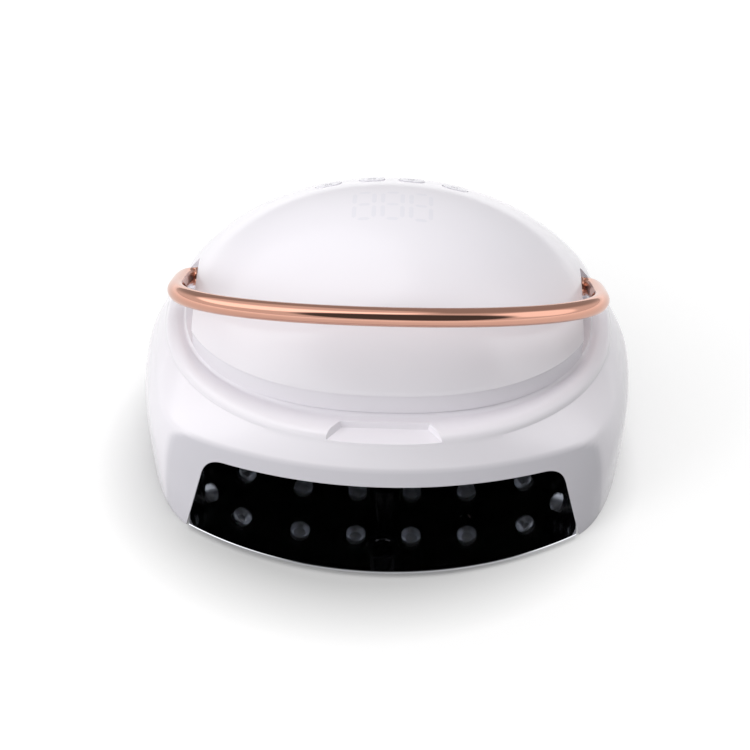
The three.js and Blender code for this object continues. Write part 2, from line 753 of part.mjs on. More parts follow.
// A rod along Y through the rear panel.
function rodAlongY(radius, from, to, x, segments = smallSegments) {
  const geometry = new THREE.CylinderGeometry(radius, radius, to - from, segments);
  return solid(geometry.translate(x, (from + to) / 2, panelCentreHeight));
}

// The arch of the cavity, grown outwards, seen from the front.
function archPoint(degrees, grow) {
  const [c, s] = [Math.cos(rad(degrees)), Math.sin(rad(degrees))];
  const radius = ovalRadius(c, s, cavityHalfWidth + grow, cavityHeight + grow, cavityShape);
  return new THREE.Vector2(radius * c, radius * s);
}

function archOutline(grow, foot) {
  const shape = new THREE.Shape();
  shape.moveTo(cavityHalfWidth + grow, foot);
  for (let i = 0; i <= archSteps; i += 1) {
    const point = archPoint((i * 180) / archSteps, grow);
    shape.lineTo(point.x, point.y);
  }
  shape.lineTo(-cavityHalfWidth - grow, foot);
  shape.closePath();
  return shape;
}

// Plan of the cavity: straight sides and round rear corners.
function cavityPlan(grow) {
  const [x, back, turn] = [cavityHalfWidth + grow, cavityRear + grow, cavityRearRadius + grow];
  const shape = new THREE.Shape();
  shape.moveTo(-x, -bodyHalfDepth - overrun);
  shape.lineTo(x, -bodyHalfDepth - overrun);
  shape.absarc(x - turn, back - turn, turn, 0, Math.PI / 2, false);
  shape.absarc(-x + turn, back - turn, turn, Math.PI / 2, Math.PI, false);
  shape.closePath();
  return shape;
}

function tunnel(grow, foot) {
  const arch = slabAlongY(archOutline(grow, foot), -bodyHalfDepth - overrun, cavityRear + grow);
  return arch.intersect(slab(cavityPlan(grow), foot - overrun, cavityHeight + grow + overrun));
}

// Every LED's place on the arch, with the direction that it points in.
function ledSpots(y) {
  return ledAngles.flatMap((angle) => [angle, 180 - angle]).map((angle) => {
    const point = archPoint(angle, linerWall + restGap);
    const before = archPoint(angle - 1, linerWall + restGap);
    const after = archPoint(angle + 1, linerWall + restGap);
    const run = after.clone().sub(before).normalize();
    return { x: point.x, y, z: point.y, inward: new THREE.Vector3(-run.y, 0, run.x) };
  });
}

// Set a turned piece on an LED spot, its own +Z pointing into the cavity.
function atSpot(geometry, spot) {
  const turn = new THREE.Quaternion().setFromUnitVectors(new THREE.Vector3(0, 0, 1), spot.inward);
  return solid(geometry.applyQuaternion(turn).translate(spot.x, spot.y, spot.z));
}

// Liner: dark arch over the hand, with a base flange, seats for the screw cups and lens holes.
function innerLiner() {
  const deckBottom = riserFootHeight - restGap - deckThickness;
  const room = bodyInner(shellWall + restGap, -overrun, deckBottom);
  const flange = box(
    [-bodyHalfWidth, -bodyHalfDepth, flangeBottom],
    [bodyHalfWidth, bodyHalfDepth, flangeBottom + flangeThickness],
  );
  const above = box(
    [-bodyHalfWidth, -bodyHalfDepth, flangeBottom],
    [bodyHalfWidth, bodyHalfDepth, apexHeight],
  );
  let liner = join(tunnel(linerWall, 0).intersect(above), flange).intersect(room);
  liner = cut(liner, tunnel(0, -overrun));
  const seats = postPlaces.map(([x, y]) => (
    rod(postRadius + restGap, postBottom - overrun, cavityHeight - restGap, x, y, cellSegments)
  ));
  const holes = postPlaces.map(([x, y]) => (
    rod(screwShank + restGap, postWellTop - overrun, riserFootHeight, x, y)
  ));
  const lensHoles = ledRows.flatMap((y) => ledSpots(y)).map((spot) => {
    const radius = ledRadius + ledHoleGap;
    const reach = linerWall + overrun;
    const profile = [[0, -overrun], [radius, -overrun], [radius, reach], [0, reach]];
    return atSpot(turned(profile, lensSegments), spot);
  });
  const magnetHoles = magnetPlaces().map(([x, y]) => (
    rod(magnetRadius + restGap, flangeBottom - overrun, flangeBottom + flangeThickness + overrun, x, y)
  ));
  const [low, high] = [cavityHeight - overrun, cavityHeight + overrun];
  const sensorHole = rod(sensorRadius + restGap, low, high, sensorX, sensorY);
  return cut(liner, ...seats, ...holes, ...lensHoles, ...magnetHoles, sensorHole);
}

// A cup under the liner's ceiling, with a well for the screw that holds it and the liner to the deck.
function screwCup(x, y) {
  const shank = screwShank + restGap;
  const profile = [
    [shank, postWellTop], [postWellRadius, postWellTop], [postWellRadius, postBottom],
    [postRadius, postBottom], [postRadius, cavityHeight - restGap], [shank, cavityHeight - restGap],
    [shank, postWellTop],
  ];
  return solid(turned(profile, cellSegments).translate(x, y, 0));
}

// One LED row: a bent strip over the liner with its lenses pushed through.
function ledStrip(y) {
  const inner = linerWall + restGap;
  const outer = archOutline(inner + stripThickness, 0);
  const band = slabAlongY(outer, y - stripWidth / 2, y + stripWidth / 2);
  const core = slabAlongY(archOutline(inner, -overrun), y - stripWidth, y + stripWidth);
  const above = box(
    [-bodyHalfWidth, y - stripWidth, stripFoot],
    [bodyHalfWidth, y + stripWidth, apexHeight],
  );
  const start = -stripThickness / 2;
  const end = linerWall + restGap + ledLength;
  const [crownOut, crownDown] = ledCrownShares.map((share) => share * ledRadius);
  const profile = [
    [0, start], [ledRadius, start], [ledRadius, end - ledRadius * ledShoulderShare],
    [crownOut, end - crownDown], [0, end],
  ];
  const lenses = ledSpots(y).map((spot) => atSpot(turned(profile, lensSegments), spot));
  return join(cut(band, core).intersect(above), ...lenses);
}

// Places of the magnets in the base flange, near the walls.
function magnetPlaces() {
  const side = (cavityHalfWidth + linerWall + bodyHalfWidth - shellWall) / 2 - magnetRadius;
  const rear = side * magnetRearShare;
  const rearY = bodyHalfDepth - magnetRearInset;
  return [[side, magnetFrontY], [-side, magnetFrontY], [rear, rearY], [-rear, rearY]];
}

function footPlaces() {
  const [frontX, rearX] = [cavityHalfWidth - footFrontInset, cavityHalfWidth - footRearInset];
  const [frontY, rearY] = [footEndInset - bodyHalfDepth, bodyHalfDepth - footBackInset];
  return [[frontX, frontY], [-frontX, frontY], [rearX, rearY], [-rearX, rearY]];
}

// Base plate: fills the body's foot and bows out in front of the opening.
function basePlate() {
  const top = plateBottom + plateThickness;
  const slope = (openingHalfWidth - openingTopHalfWidth) / lintelHeight;
  const half = openingHalfWidth - slope * top - plateGap;
  const arcRadius = (half ** 2 + plateBow ** 2) / (2 * plateBow);
  const spread = Math.asin(half / arcRadius);
  const bow = new THREE.Shape();
  const centre = arcRadius - bodyHalfDepth;
  bow.moveTo(half, -openingDepth);
  bow.lineTo(-half, -openingDepth);
  bow.absarc(0, centre, arcRadius, -Math.PI / 2 - spread, -Math.PI / 2 + spread, false);
  bow.closePath();
  const slabBox = box([-bodyHalfWidth, -bodyHalfDepth, plateBottom], [bodyHalfWidth, bodyHalfDepth, top]);
  const room = bodyInner(shellWall + plateGap, -overrun, riserFootHeight - deckThickness);
  return join(room.intersect(slabBox), slab(bow, plateBottom, top, bowSegments));
}

// Rose gold bail: a tube whose ends turn in to the pivots.
class BailCurve extends THREE.Curve {
  getPoint(t, target = new THREE.Vector3()) {
    const side = t < 0.5 ? -1 : 1;
    const along = side < 0 ? t * 2 : 2 - t * 2;
    const end = pocketHalfWidth + restGap + pivotCollar;
    if (along < archEndShare) {
      const u = along / archEndShare;
      const elbow = [archHalfWidth, archStart * archElbowShare];
      const points = [[end, 0], [archHalfWidth, 0], elbow, [archHalfWidth, archStart]];
      const weights = [(1 - u) ** 3, 3 * u * (1 - u) ** 2, 3 * u * u * (1 - u), u ** 3];
      const x = points.reduce((sum, point, i) => sum + point[0] * weights[i], 0);
      const reach = points.reduce((sum, point, i) => sum + point[1] * weights[i], 0);
      return target.set(side * x, -reach, 0);
    }
    const turn = ((along - archEndShare) / (1 - archEndShare)) * (Math.PI / 2);
    const [c, s] = [Math.cos(turn), Math.sin(turn)];
    const radius = ovalRadius(c, s, archHalfWidth, archReach - archStart, archShape);
    return target.set(side * radius * c, -archStart - radius * s, 0);
  }
}

// Turn a piece drawn level about the pivot line to the bail's rest angle.
function atPivot(geometry) {
  return solid(geometry.rotateX(-rad(handleAngle)).translate(0, pivotY, pivotHeight));
}

function handleBail() {
  const shape = new THREE.Shape();
  shape.absarc(0, 0, tubeRadius, 0, 2 * Math.PI, false);
  const bore = new THREE.Path();
  bore.absarc(0, 0, tubeRadius - tubeWall, 0, 2 * Math.PI, true);
  shape.holes.push(bore);
  const options = { steps: tubeSteps, curveSegments: tubeSides / 2, bevelEnabled: false };
  return atPivot(new THREE.ExtrudeGeometry(shape, { ...options, extrudePath: new BailCurve() }));
}

// Pivot pin: collar against the pocket wall, spigot in the tube, shank through the wall.
function pivotPin(side) {
  const face = pocketHalfWidth + restGap;
  const profile = [
    [0, face - shellWall - pivotTail],
    [pivotShankRadius, face - shellWall - pivotTail],
    [pivotShankRadius, face],
    [pivotCollarRadius, face],
    [pivotCollarRadius, face + pivotCollar - restGap],
    [pivotSpigotRadius, face + pivotCollar - restGap],
    [pivotSpigotRadius, face + pivotCollar + pivotSpigot],
    [0, face + pivotCollar + pivotSpigot],
  ];
  return alongPivot(profile, side);
}

// A turned piece whose profile runs outwards along the pivot line.
function alongPivot(profile, side, segments = smallSegments) {
  const geometry = turned(profile, segments).rotateY((side * Math.PI) / 2);
  return solid(geometry.translate(0, pivotY, pivotHeight));
}

function ringAlongPivot(side, inner, outer, from, to, segments) {
  const profile = [[inner, from], [outer, from], [outer, to], [inner, to], [inner, from]];
  return alongPivot(profile, side, segments);
}

// Screw with a round head below and its shank pointing up.
function screw(x, y, headBottom, shankTop) {
  const head = headBottom + screwHeadHeight;
  const profile = [
    [0, headBottom], [screwHead, headBottom], [screwHead, head],
    [screwShank, head], [screwShank, shankTop], [0, shankTop],
  ];
  return solid(turned(profile).translate(x, y, 0));
}

// Key: pill with a face that follows the dome, a rim inside and a stem to its switch.
function keyPiece(place) {
  const { face, under } = keyLevels(place);
  const switchTop = keyBoardLevel + switchHeight + keyTravel + restGap;
  const faceCut = domeSolid(-keyProud, riserFootHeight);
  const cap = pillPrism(place, 0, under - keyFlangeHeight, face + overrun).intersect(faceCut);
  const flange = pillPrism(place, keyFlange, under - keyFlangeHeight, under);
  const local = inKeyFrame(place.point);
  const stem = new THREE.CylinderGeometry(keyStemRadius, keyStemRadius, under - switchTop, smallSegments);
  stem.rotateX(Math.PI / 2).translate(local.x, local.y, (under + switchTop) / 2).applyMatrix4(keyFrame);
  return join(cap, flange, solid(stem));
}

// Key board: a tilted board with one tact switch under each key.
function keyBoard() {
  const middle = inKeyFrame(keyPlaces[0].point).y - boardPostRadius / 2;
  const pieces = [solid(new THREE.BoxGeometry(2 * keyBoardHalfLength, 2 * keyBoardHalfWidth, boardThickness)
    .translate(0, middle, keyBoardLevel - boardThickness / 2).applyMatrix4(keyFrame))];
  keyPlaces.forEach((place) => {
    const local = inKeyFrame(place.point);
    const tall = switchHeight + boardThickness / 2;
    const square = new THREE.BoxGeometry(2 * switchHalfWidth, 2 * switchHalfWidth, tall);
    square.translate(local.x, local.y, keyBoardLevel + switchHeight - tall / 2);
    pieces.push(solid(square.applyMatrix4(keyFrame)));
  });
  return join(...pieces);
}

// Control board with its processor and two power parts.
function controlBoard() {
  const top = controlBoardHeight + boardThickness;
  const board = box(
    [-controlBoardHalfLength, controlBoardFront, controlBoardHeight],
    [controlBoardHalfLength, controlBoardRear, top],
  );
  const chip = (x, y) => box(
    [x - chipHalfWidth, y - chipHalfWidth, controlBoardHeight - chipHeight],
    [x + chipHalfWidth, y + chipHalfWidth, controlBoardHeight + boardThickness / 2],
  );
  return join(board, chip(0, 0), chip(-3 * chipHalfWidth, 0), chip(3 * chipHalfWidth, 2 * chipHalfWidth));
}

function displayModule() {
  const bottom = controlBoardHeight + boardThickness + restGap;
  const frame = box(
    [-displayHalfLength, displayY - displayHalfDepth, bottom],
    [displayHalfLength, displayY + displayHalfDepth, bottom + displayHeight],
  );
  const [wide, deep] = [displayHalfDepth * digitWidthShare, displayHalfDepth * digitDepthShare];
  const top = bottom + displayHeight;
  const digit = (x) => box(
    [x - wide, displayY - deep, top - digitRise],
    [x + wide, displayY + deep, top + digitRise],
  );
  const pitch = (displayHalfLength * 2) / 3;
  return join(frame, digit(-pitch), digit(0), digit(pitch));
}

// Battery tray with a cradle rib under the cells at each end.
const deckTop = riserFootHeight - restGap;
const trayBottom = deckTop + restGap;
const cellAxis = trayBottom + trayFloor + cellRadius + restGap;
const cellYs = Array.from({ length: cellRows }, (_, i) => trayY + (i - (cellRows - 1) / 2) * cellPitch);
const trayHalfLength = cellLength + cellNub + 3 * restGap + trayWall;
const trayHalfWidth = (cellRows * cellPitch) / 2 + trayWall;

function batteryTray() {
  const top = trayBottom + trayFloor + trayRise;
  const [front, rear] = [trayY - trayHalfWidth, trayY + trayHalfWidth];
  const block = box([-trayHalfLength, front, trayBottom], [trayHalfLength, rear, top]);
  const inner = box(
    [-trayHalfLength + trayWall, front + trayWall, trayBottom + trayFloor],
    [trayHalfLength - trayWall, rear - trayWall, top + overrun],
  );
  const rib = box([-trayWall, front, trayBottom], [trayWall, rear, top]);
  const room = cellRadius + restGap;
  const cellRoom = cellYs.map((y) => {
    const geometry = new THREE.CylinderGeometry(room, room, 2 * trayHalfLength, cellSegments);
    return solid(geometry.rotateZ(Math.PI / 2).translate(0, y, cellAxis));
  });
  const ends = [-1, 1].map((side) => {
    const from = side * (trayHalfLength - trayWall - cellNub - restGap);
    const to = side * trayHalfLength;
    return box([Math.min(from, to), front, trayBottom], [Math.max(from, to), rear, top]);
  });
  const hollow = cut(inner, rib, ...ends);
  const saddleTop = trayBottom + trayFloor + cellRadius * saddleRiseShare;
  const saddles = [-1, 1].flatMap((side) => saddleShares.map((share) => box(
    [side * trayHalfLength * share - trayWall, front, trayBottom],
    [side * trayHalfLength * share + trayWall, rear, saddleTop],
  )));
  return join(cut(block, hollow), cut(join(...saddles), ...cellRoom));
}

function batteryCell(side, y) {
  const reach = trayWall + restGap;
  const profile = [
    [0, reach], [cellRadius, reach], [cellRadius, reach + cellLength - trayWall - cellNub],
    [cellNubRadius, reach + cellLength - trayWall - cellNub],
    [cellNubRadius, reach + cellLength - trayWall], [0, reach + cellLength - trayWall],
  ];
  const geometry = turned(profile, cellSegments).rotateY((side * Math.PI) / 2).translate(0, y, cellAxis);
  return solid(geometry);
}

// Strap over the cells, its feet beside the tray on the deck.
function cellStrap(x) {
  const inner = { y: trayHalfWidth + restGap, z: cellAxis + cellRadius + restGap };
  const outer = { y: inner.y + strapThickness, z: inner.z + strapThickness };
  const foot = strapWidth / 2;
  const arch = (reach, top) => box(
    [x - strapWidth / 2, trayY - reach, deckTop + restGap],
    [x + strapWidth / 2, trayY + reach, top],
  );
  const feet = box(
    [x - strapWidth / 2, trayY - outer.y - foot, deckTop + restGap],
    [x + strapWidth / 2, trayY + outer.y + foot, deckTop + restGap + strapThickness],
  );
  const clear = box(
    [x - strapWidth, trayY - inner.y, deckTop - overrun],
    [x + strapWidth, trayY + inner.y, inner.z],
  );
  return cut(join(arch(outer.y, outer.z), feet), clear);
}

// Charging socket, bezel and rocker, drawn about the rear panel.
function dcSocket() {
  const face = panelY + restGap;
  const profile = [
    [0, -socketLength], [socketRadius, -socketLength], [socketRadius, 0],
    [socketFlangeRadius, 0], [socketFlangeRadius, socketFlangeHeight],
    [socketBore, socketFlangeHeight], [socketBore, -socketLength * socketBoreShare],
    [socketPinRadius, -socketLength * socketBoreShare], [socketPinRadius, 0], [0, 0],
  ];
  return solid(turned(profile).rotateX(-Math.PI / 2).translate(socketX, face, panelCentreHeight));
}

function switchBezel() {
  const face = panelY + restGap;
  const frame = (x, z, from, to) => box(
    [bezelX - x, from, panelCentreHeight - z],
    [bezelX + x, to, panelCentreHeight + z],
  );
  const back = face - bezelDepth;
  const lip = frame(bezelHalfLength, bezelHalfWidth, face, face + bezelLip);
  const body = frame(bezelHalfLength - bezelLip, bezelHalfWidth - bezelLip, back, face + bezelLip);
  const inset = bezelLip + bezelWall;
  const well = frame(bezelHalfLength - inset, bezelHalfWidth - inset, back + bezelWall, face + overrun);
  return cut(join(lip, body), well);
}

const rockerHalfLength = bezelHalfLength - bezelLip - bezelWall - 2 * slideGap;
const rockerHalfWidth = bezelHalfWidth - bezelLip - bezelWall - slideGap;

// Rocker: two flat wings that meet in a valley over its pivot, pressed in on the right.
function powerRocker() {
  const shape = new THREE.Shape();
  const rise = rockerHalfLength * Math.tan(rad(rockerAngle));
  shape.moveTo(-rockerHalfLength, -rockerBody / 2);
  shape.lineTo(0, -rockerBody);
  shape.lineTo(rockerHalfLength, -rockerBody / 2);
  shape.lineTo(rockerHalfLength, rise);
  shape.lineTo(0, 0);
  shape.lineTo(-rockerHalfLength, rise);
  shape.closePath();
  const geometry = new THREE.ExtrudeGeometry(shape, { depth: 2 * rockerHalfWidth, bevelEnabled: false });
  geometry.translate(0, 0, -rockerHalfWidth);
  geometry.rotateZ(-rad(rockerAngle));
  return solid(geometry.translate(bezelX, panelY + rockerCrown, panelCentreHeight));
}

function chargeBoard() {
  const bottom = flangeBottom + flangeThickness + restGap;
  const top = bottom + boardThickness;
  const half = chargeBoardHalfLength;
  const board = box([-half, chargeBoardFront, bottom], [half, chargeBoardRear, top]);
  const middle = (chargeBoardFront + chargeBoardRear) / 2;
  const coilBottom = bottom + boardThickness / 2;
  const coil = rod(chargeChipHeight, coilBottom, top + chargeChipHeight, chipHalfWidth, middle);
  return join(board, coil);
}

function handSensor() {
  const seat = cavityHeight + linerWall + restGap;
  const profile = [
    [0, cavityHeight - sensorFlange], [sensorRadius * sensorTipShare, cavityHeight - sensorFlange],
    [sensorRadius, cavityHeight], [sensorRadius, seat],
    [sensorRadius + sensorFlange, seat], [sensorRadius + sensorFlange, seat + sensorFlange],
    [0, seat + sensorFlange],
  ];
  return solid(turned(profile).translate(sensorX, sensorY, 0));
}

// Casings
addPiece('top_cover', topCover(), white);
addPiece('housing_shell', housingShell(), white);
addPiece('inner_liner', innerLiner(), black);
postPlaces.forEach(([x, y], i) => addPiece(`screw_cup_${i + 1}`, screwCup(x, y), black));
addPiece('base_plate', basePlate(), mirror);

// Light
ledRows.forEach((y, i) => addPiece(`led_strip_${i + 1}`, ledStrip(y), lensClear));
addPiece('hand_sensor', handSensor(), black);

// Controls
keyPlaces.forEach((place) => addPiece(place.name, keyPiece(place), white));
addPiece('key_board', keyBoard(), boardGreen);
addPiece('control_board', controlBoard(), boardGreen);
addPiece('display_module', displayModule(), black);

// Power
addPiece('battery_tray', batteryTray(), trayGrey);
let cellNumber = 0;
[-1, 1].forEach((side) => cellYs.forEach((y) => {
  cellNumber += 1;
  addPiece(`battery_cell_${cellNumber}`, batteryCell(side, y), cellWrap);
}));
addPiece('cell_strap_left', cellStrap(-strapX), steel);
addPiece('cell_strap_right', cellStrap(strapX), steel);
addPiece('charge_board', chargeBoard(), boardGreen);
addPiece('dc_socket', dcSocket(), black);
addPiece('switch_bezel', switchBezel(), black);
addPiece('power_rocker', powerRocker(), black);

// Handle
addPiece('handle_bail', handleBail(), roseGold);
[['left', -1], ['right', 1]].forEach(([name, side]) => {
  const wallIn = pocketHalfWidth - shellWall - restGap;
  addPiece(`pivot_pin_${name}`, pivotPin(side), roseGold);
  addPiece(
    `friction_washer_${name}`,
    ringAlongPivot(side, pivotShankRadius + restGap, washerRadius, wallIn - washerHeight, wallIn),
    rubber,
  );
  const nutFace = wallIn - washerHeight - restGap;
  const nutBore = (pivotShankRadius + restGap) / Math.cos(Math.PI / nutSides);
  addPiece(
    `pivot_nut_${name}`,
    ringAlongPivot(side, nutBore, nutRadius, nutFace - nutHeight, nutFace, nutSides),
    steel,
  );
});

// Fasteners, magnets and feet
const deckUnder = deckTop - deckThickness;
coverBossPlaces().forEach(([x, y], i) => {
  const head = deckUnder - restGap - screwHeadHeight;
  addPiece(`cover_screw_${i + 1}`, screw(x, y, head, riserFootHeight + screwBite), steel);
});
postPlaces.forEach(([x, y], i) => {
  const head = postWellTop - restGap - screwHeadHeight;
  addPiece(`liner_screw_${i + 1}`, screw(x, y, head, riserFootHeight - deckThickness), steel);
});
magnetPlaces().forEach(([x, y], i) => {
  addPiece(`magnet_${i + 1}`, rod(magnetRadius, flangeBottom, flangeBottom + magnetHeight, x, y), steel);
});
footPlaces().forEach(([x, y], i) => {
  addPiece(`rubber_foot_${i + 1}`, rod(footRadius, 0, plateBottom - restGap, x, y), rubber);
});

export default group;
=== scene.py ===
"""Looks for a cordless nail lamp.

A white glossy cover and housing, a rose gold bail handle, a black liner with rows of clear LED lenses,
a mirror base plate and a small rear panel. Sizes are in metres, written as millimetres times MM.
"""

from __future__ import annotations

import json
import logging
import math
from contextlib import contextmanager
from dataclasses import dataclass, field
from enum import Enum
from typing import Callable, Iterator, Sequence

import bmesh
import bpy
from mathutils import Matrix, Vector

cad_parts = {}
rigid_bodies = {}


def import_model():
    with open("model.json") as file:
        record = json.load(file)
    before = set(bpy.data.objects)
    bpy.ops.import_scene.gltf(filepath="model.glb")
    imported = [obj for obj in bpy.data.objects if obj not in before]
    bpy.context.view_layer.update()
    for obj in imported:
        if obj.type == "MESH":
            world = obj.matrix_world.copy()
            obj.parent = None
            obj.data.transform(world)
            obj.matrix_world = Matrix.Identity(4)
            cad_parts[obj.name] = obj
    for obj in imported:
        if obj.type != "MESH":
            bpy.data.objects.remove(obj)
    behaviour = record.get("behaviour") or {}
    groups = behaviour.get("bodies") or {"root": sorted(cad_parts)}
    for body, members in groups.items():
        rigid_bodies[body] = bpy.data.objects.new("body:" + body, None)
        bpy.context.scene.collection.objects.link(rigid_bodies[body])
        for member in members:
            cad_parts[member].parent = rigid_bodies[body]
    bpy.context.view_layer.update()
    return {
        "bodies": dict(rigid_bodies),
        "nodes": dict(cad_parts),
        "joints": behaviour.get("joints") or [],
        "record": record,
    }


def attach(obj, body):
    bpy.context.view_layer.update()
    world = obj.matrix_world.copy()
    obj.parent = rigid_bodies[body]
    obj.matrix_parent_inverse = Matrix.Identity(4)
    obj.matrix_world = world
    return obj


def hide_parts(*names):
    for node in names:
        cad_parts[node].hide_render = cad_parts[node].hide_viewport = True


MM = 0.001
# How far the middle point of a rounded edge lies in from its corner, as a share of the rounding.
EASE = 0.3
# Most of a noise pattern's values lie in this span.
NOISE_SPAN = (0.3, 0.7)
# Turns a piece that was drawn along +Z to +Y, the rear.
TO_THE_REAR = Matrix.Rotation(-math.pi / 2, 4, "X")
LOG = logging.getLogger("lamp")
Place = Callable[[int], Vector]
Point = tuple[float, float]


class Side(Enum):
    """Left or right of the lamp, with the sign of X there."""

    LEFT = -1
    RIGHT = 1


class Cut(Enum):
    """What a tool does to the solid that it meets."""

    REMOVE = "DIFFERENCE"
    ADD = "UNION"
    KEEP = "INTERSECT"


# Modelling helpers


def select_only(obj: bpy.types.Object) -> None:
    """Make one object the only selected one, and the active one.

    Args:
        obj: The object.
    """
    bpy.ops.object.select_all(action="DESELECT")
    obj.select_set(True)
    bpy.context.view_layer.objects.active = obj


@contextmanager
def edit_mode(obj: bpy.types.Object) -> Iterator[None]:
    """Go into one object's edit mode with all of its mesh selected, and out again.

    Args:
        obj: The object.

    Returns:
        Nothing, while the object is in edit mode.
    """
    select_only(obj)
    bpy.ops.object.mode_set(mode="EDIT")
    bpy.ops.mesh.select_all(action="SELECT")
    yield
    bpy.ops.object.mode_set(mode="OBJECT")


def apply_modifier(obj: bpy.types.Object, kind: str, **settings: object) -> None:
    """Add a modifier and apply it.

    Args:
        obj: The piece to change.
        kind: Blender's name of the modifier type.
        settings: Values for the modifier's own properties.
    """
    select_only(obj)
    modifier = obj.modifiers.new(kind.lower(), kind)
    for name, value in settings.items():
        setattr(modifier, name, value)
    bpy.ops.object.modifier_apply(modifier=modifier.name)


def combine(obj: bpy.types.Object, tool: bpy.types.Object, how: Cut) -> None:
    """Cut, join or keep a solid with a tool, which is used up.

    Args:
        obj: The solid that is changed.
        tool: The solid that changes it.
        how: What the tool does.
    """
    apply_modifier(obj, "BOOLEAN", object=tool, operation=how.value, solver="EXACT")
    bpy.data.objects.remove(tool)


def joined(pieces: Sequence[bpy.types.Object]) -> bpy.types.Object:
    """Join meshes that don't touch into one object.

    Args:
        pieces: The meshes, the first of which gives its name.

    Returns:
        The joined object.
    """
    select_only(pieces[0])
    for piece in pieces[1:]:
        piece.select_set(True)
    if len(pieces) > 1:
        bpy.ops.object.join()
    return pieces[0]


def settle(obj: bpy.types.Object, matrix: Matrix | None = None) -> bpy.types.Object:
    """Put an object's place into its mesh, so that it sits at the origin unturned.

    Args:
        obj: The finished piece.
        matrix: A further placement of the piece.

    Returns:
        The same piece.
    """
    bpy.context.view_layer.update()
    world = obj.matrix_world.copy()
    obj.data.transform(matrix @ world if matrix else world)
    obj.matrix_world = Matrix.Identity(4)
    return obj


def smooth(obj: bpy.types.Object, degrees: float = 30) -> None:
    """Shade smooth, with edges sharper than an angle left crisp."""
    select_only(obj)
    bpy.ops.object.shade_smooth_by_angle(angle=math.radians(degrees))


def clean(obj: bpy.types.Object, distance: float = 0.004 * MM, even: bool = True) -> None:
    """Merge doubles and turn all faces of a closed piece outwards.

    Args:
        obj: The piece.
        distance: How close two points are merged.
        even: Whether faces are first turned to agree, which a cut solid's faces already do.
    """
    with edit_mode(obj):
        bpy.ops.mesh.remove_doubles(threshold=distance)
        if even:
            bpy.ops.mesh.normals_make_consistent(inside=False)
        if bmesh.from_edit_mesh(obj.data).calc_volume(signed=True) < 0:
            bpy.ops.mesh.flip_normals()


def round_edges(obj: bpy.types.Object, width: float, degrees: float = 35, segments: int = 3) -> None:
    """Round every edge that is sharper than an angle.

    Args:
        obj: The piece.
        width: How much of each side the rounding takes.
        degrees: The least angle of an edge that is rounded.
        segments: How many faces the rounding has.
    """
    apply_modifier(
        obj, "BEVEL", width=width, segments=segments, limit_method="ANGLE",
        angle_limit=math.radians(degrees), harden_normals=False,
    )


class Loft:
    """A closed skin that grows ring by ring: each ring is extruded from the last and put in place."""

    def __init__(self, name: str, columns: int, start: Vector, first: Place) -> None:
        """Begin with a fan of faces.

        Args:
            name: The new object's name.
            columns: How many points each ring has.
            start: The middle of the fan.
            first: Where each point of the first ring goes.
        """
        bpy.ops.object.select_all(action="DESELECT")
        bpy.ops.mesh.primitive_circle_add(vertices=columns, radius=MM, fill_type="TRIFAN")
        self.obj = bpy.context.active_object
        self.obj.name = name
        bpy.ops.object.mode_set(mode="EDIT")
        bpy.ops.mesh.select_mode(type="VERT")
        skin = bmesh.from_edit_mesh(self.obj.data)
        layer = skin.verts.layers.int.new("column")
        number = 0
        for vertex in skin.verts:
            if len(vertex.link_edges) == columns:
                vertex.co = start
                vertex.select = False
                continue
            vertex[layer] = number
            vertex.co = first(number)
            number += 1
        skin.select_flush(False)
        bmesh.update_edit_mesh(self.obj.data)

    def ring(self, place: Place) -> None:
        """Extrude the last ring and set its points.

        Args:
            place: Where each point of the new ring goes.
        """
        bpy.ops.mesh.extrude_region_move()
        skin = bmesh.from_edit_mesh(self.obj.data)
        layer = skin.verts.layers.int["column"]
        for vertex in skin.verts:
            if vertex.select:
                vertex.co = place(vertex[layer])
        bmesh.update_edit_mesh(self.obj.data)

    def close(self, end: Vector) -> bpy.types.Object:
        """Draw the last ring together in one point.

        Args:
            end: The point.

        Returns:
            The finished solid.
        """
        bpy.ops.mesh.extrude_region_move()
        bpy.ops.mesh.merge(type="CENTER")
        skin = bmesh.from_edit_mesh(self.obj.data)
        for vertex in skin.verts:
            if vertex.select:
                vertex.co = end
        bmesh.update_edit_mesh(self.obj.data)
        bpy.ops.mesh.select_all(action="SELECT")
        bpy.ops.mesh.normals_make_consistent(inside=False)
        bpy.ops.object.mode_set(mode="OBJECT")
        return self.obj


def directions(columns: int) -> list[Point]:
    """Cosines and sines of evenly spread directions."""
    turns = [2 * math.pi * i / columns for i in range(columns)]
    return [(math.cos(turn), math.sin(turn)) for turn in turns]


def plan_ring(
    turns: Sequence[Point], centre_y: float, radius: Callable[[float, float], float], height: float
) -> Place:
    """Places of a ring that a radius in each direction gives.

    Args:
        turns: The directions.
        centre_y: The ring's middle.
        radius: The radius for a direction.
        height: Height over the ground.

    Returns:
        A function from a column's number to its place.
    """
    def at(i: int) -> Vector:
        """Place of one column's point."""
        c, s = turns[i]
        reach = radius(c, s)
        return Vector((reach * c, centre_y + reach * s, height))

    return at


def lathe(name: str, profile: Sequence[Point], columns: int = 48) -> bpy.types.Object:
    """Spin a profile about +Z into a closed piece.

    Args:
        name: The new object's name.
        profile: Points of radius and height, the first and last on the axis.
        columns: How many faces go round.

    Returns:
        The turned piece.
    """
    turns = directions(columns)

    def at(radius: float, height: float) -> Place:
        """Round ring about the axis."""
        return plan_ring(turns, 0.0, lambda c, s: radius, height)

    loft = Loft(name, columns, Vector((0, 0, profile[0][1])), at(*profile[1]))
    for radius, height in profile[2:-1]:
        loft.ring(at(radius, height))
    return loft.close(Vector((0, 0, profile[-1][1])))


def plug(radius: float, low: float, high: float) -> list[Point]:
    """Profile of a plain round plug, to cut a hole with."""
    return [(0, low), (radius, low), (radius, high), (0, high)]


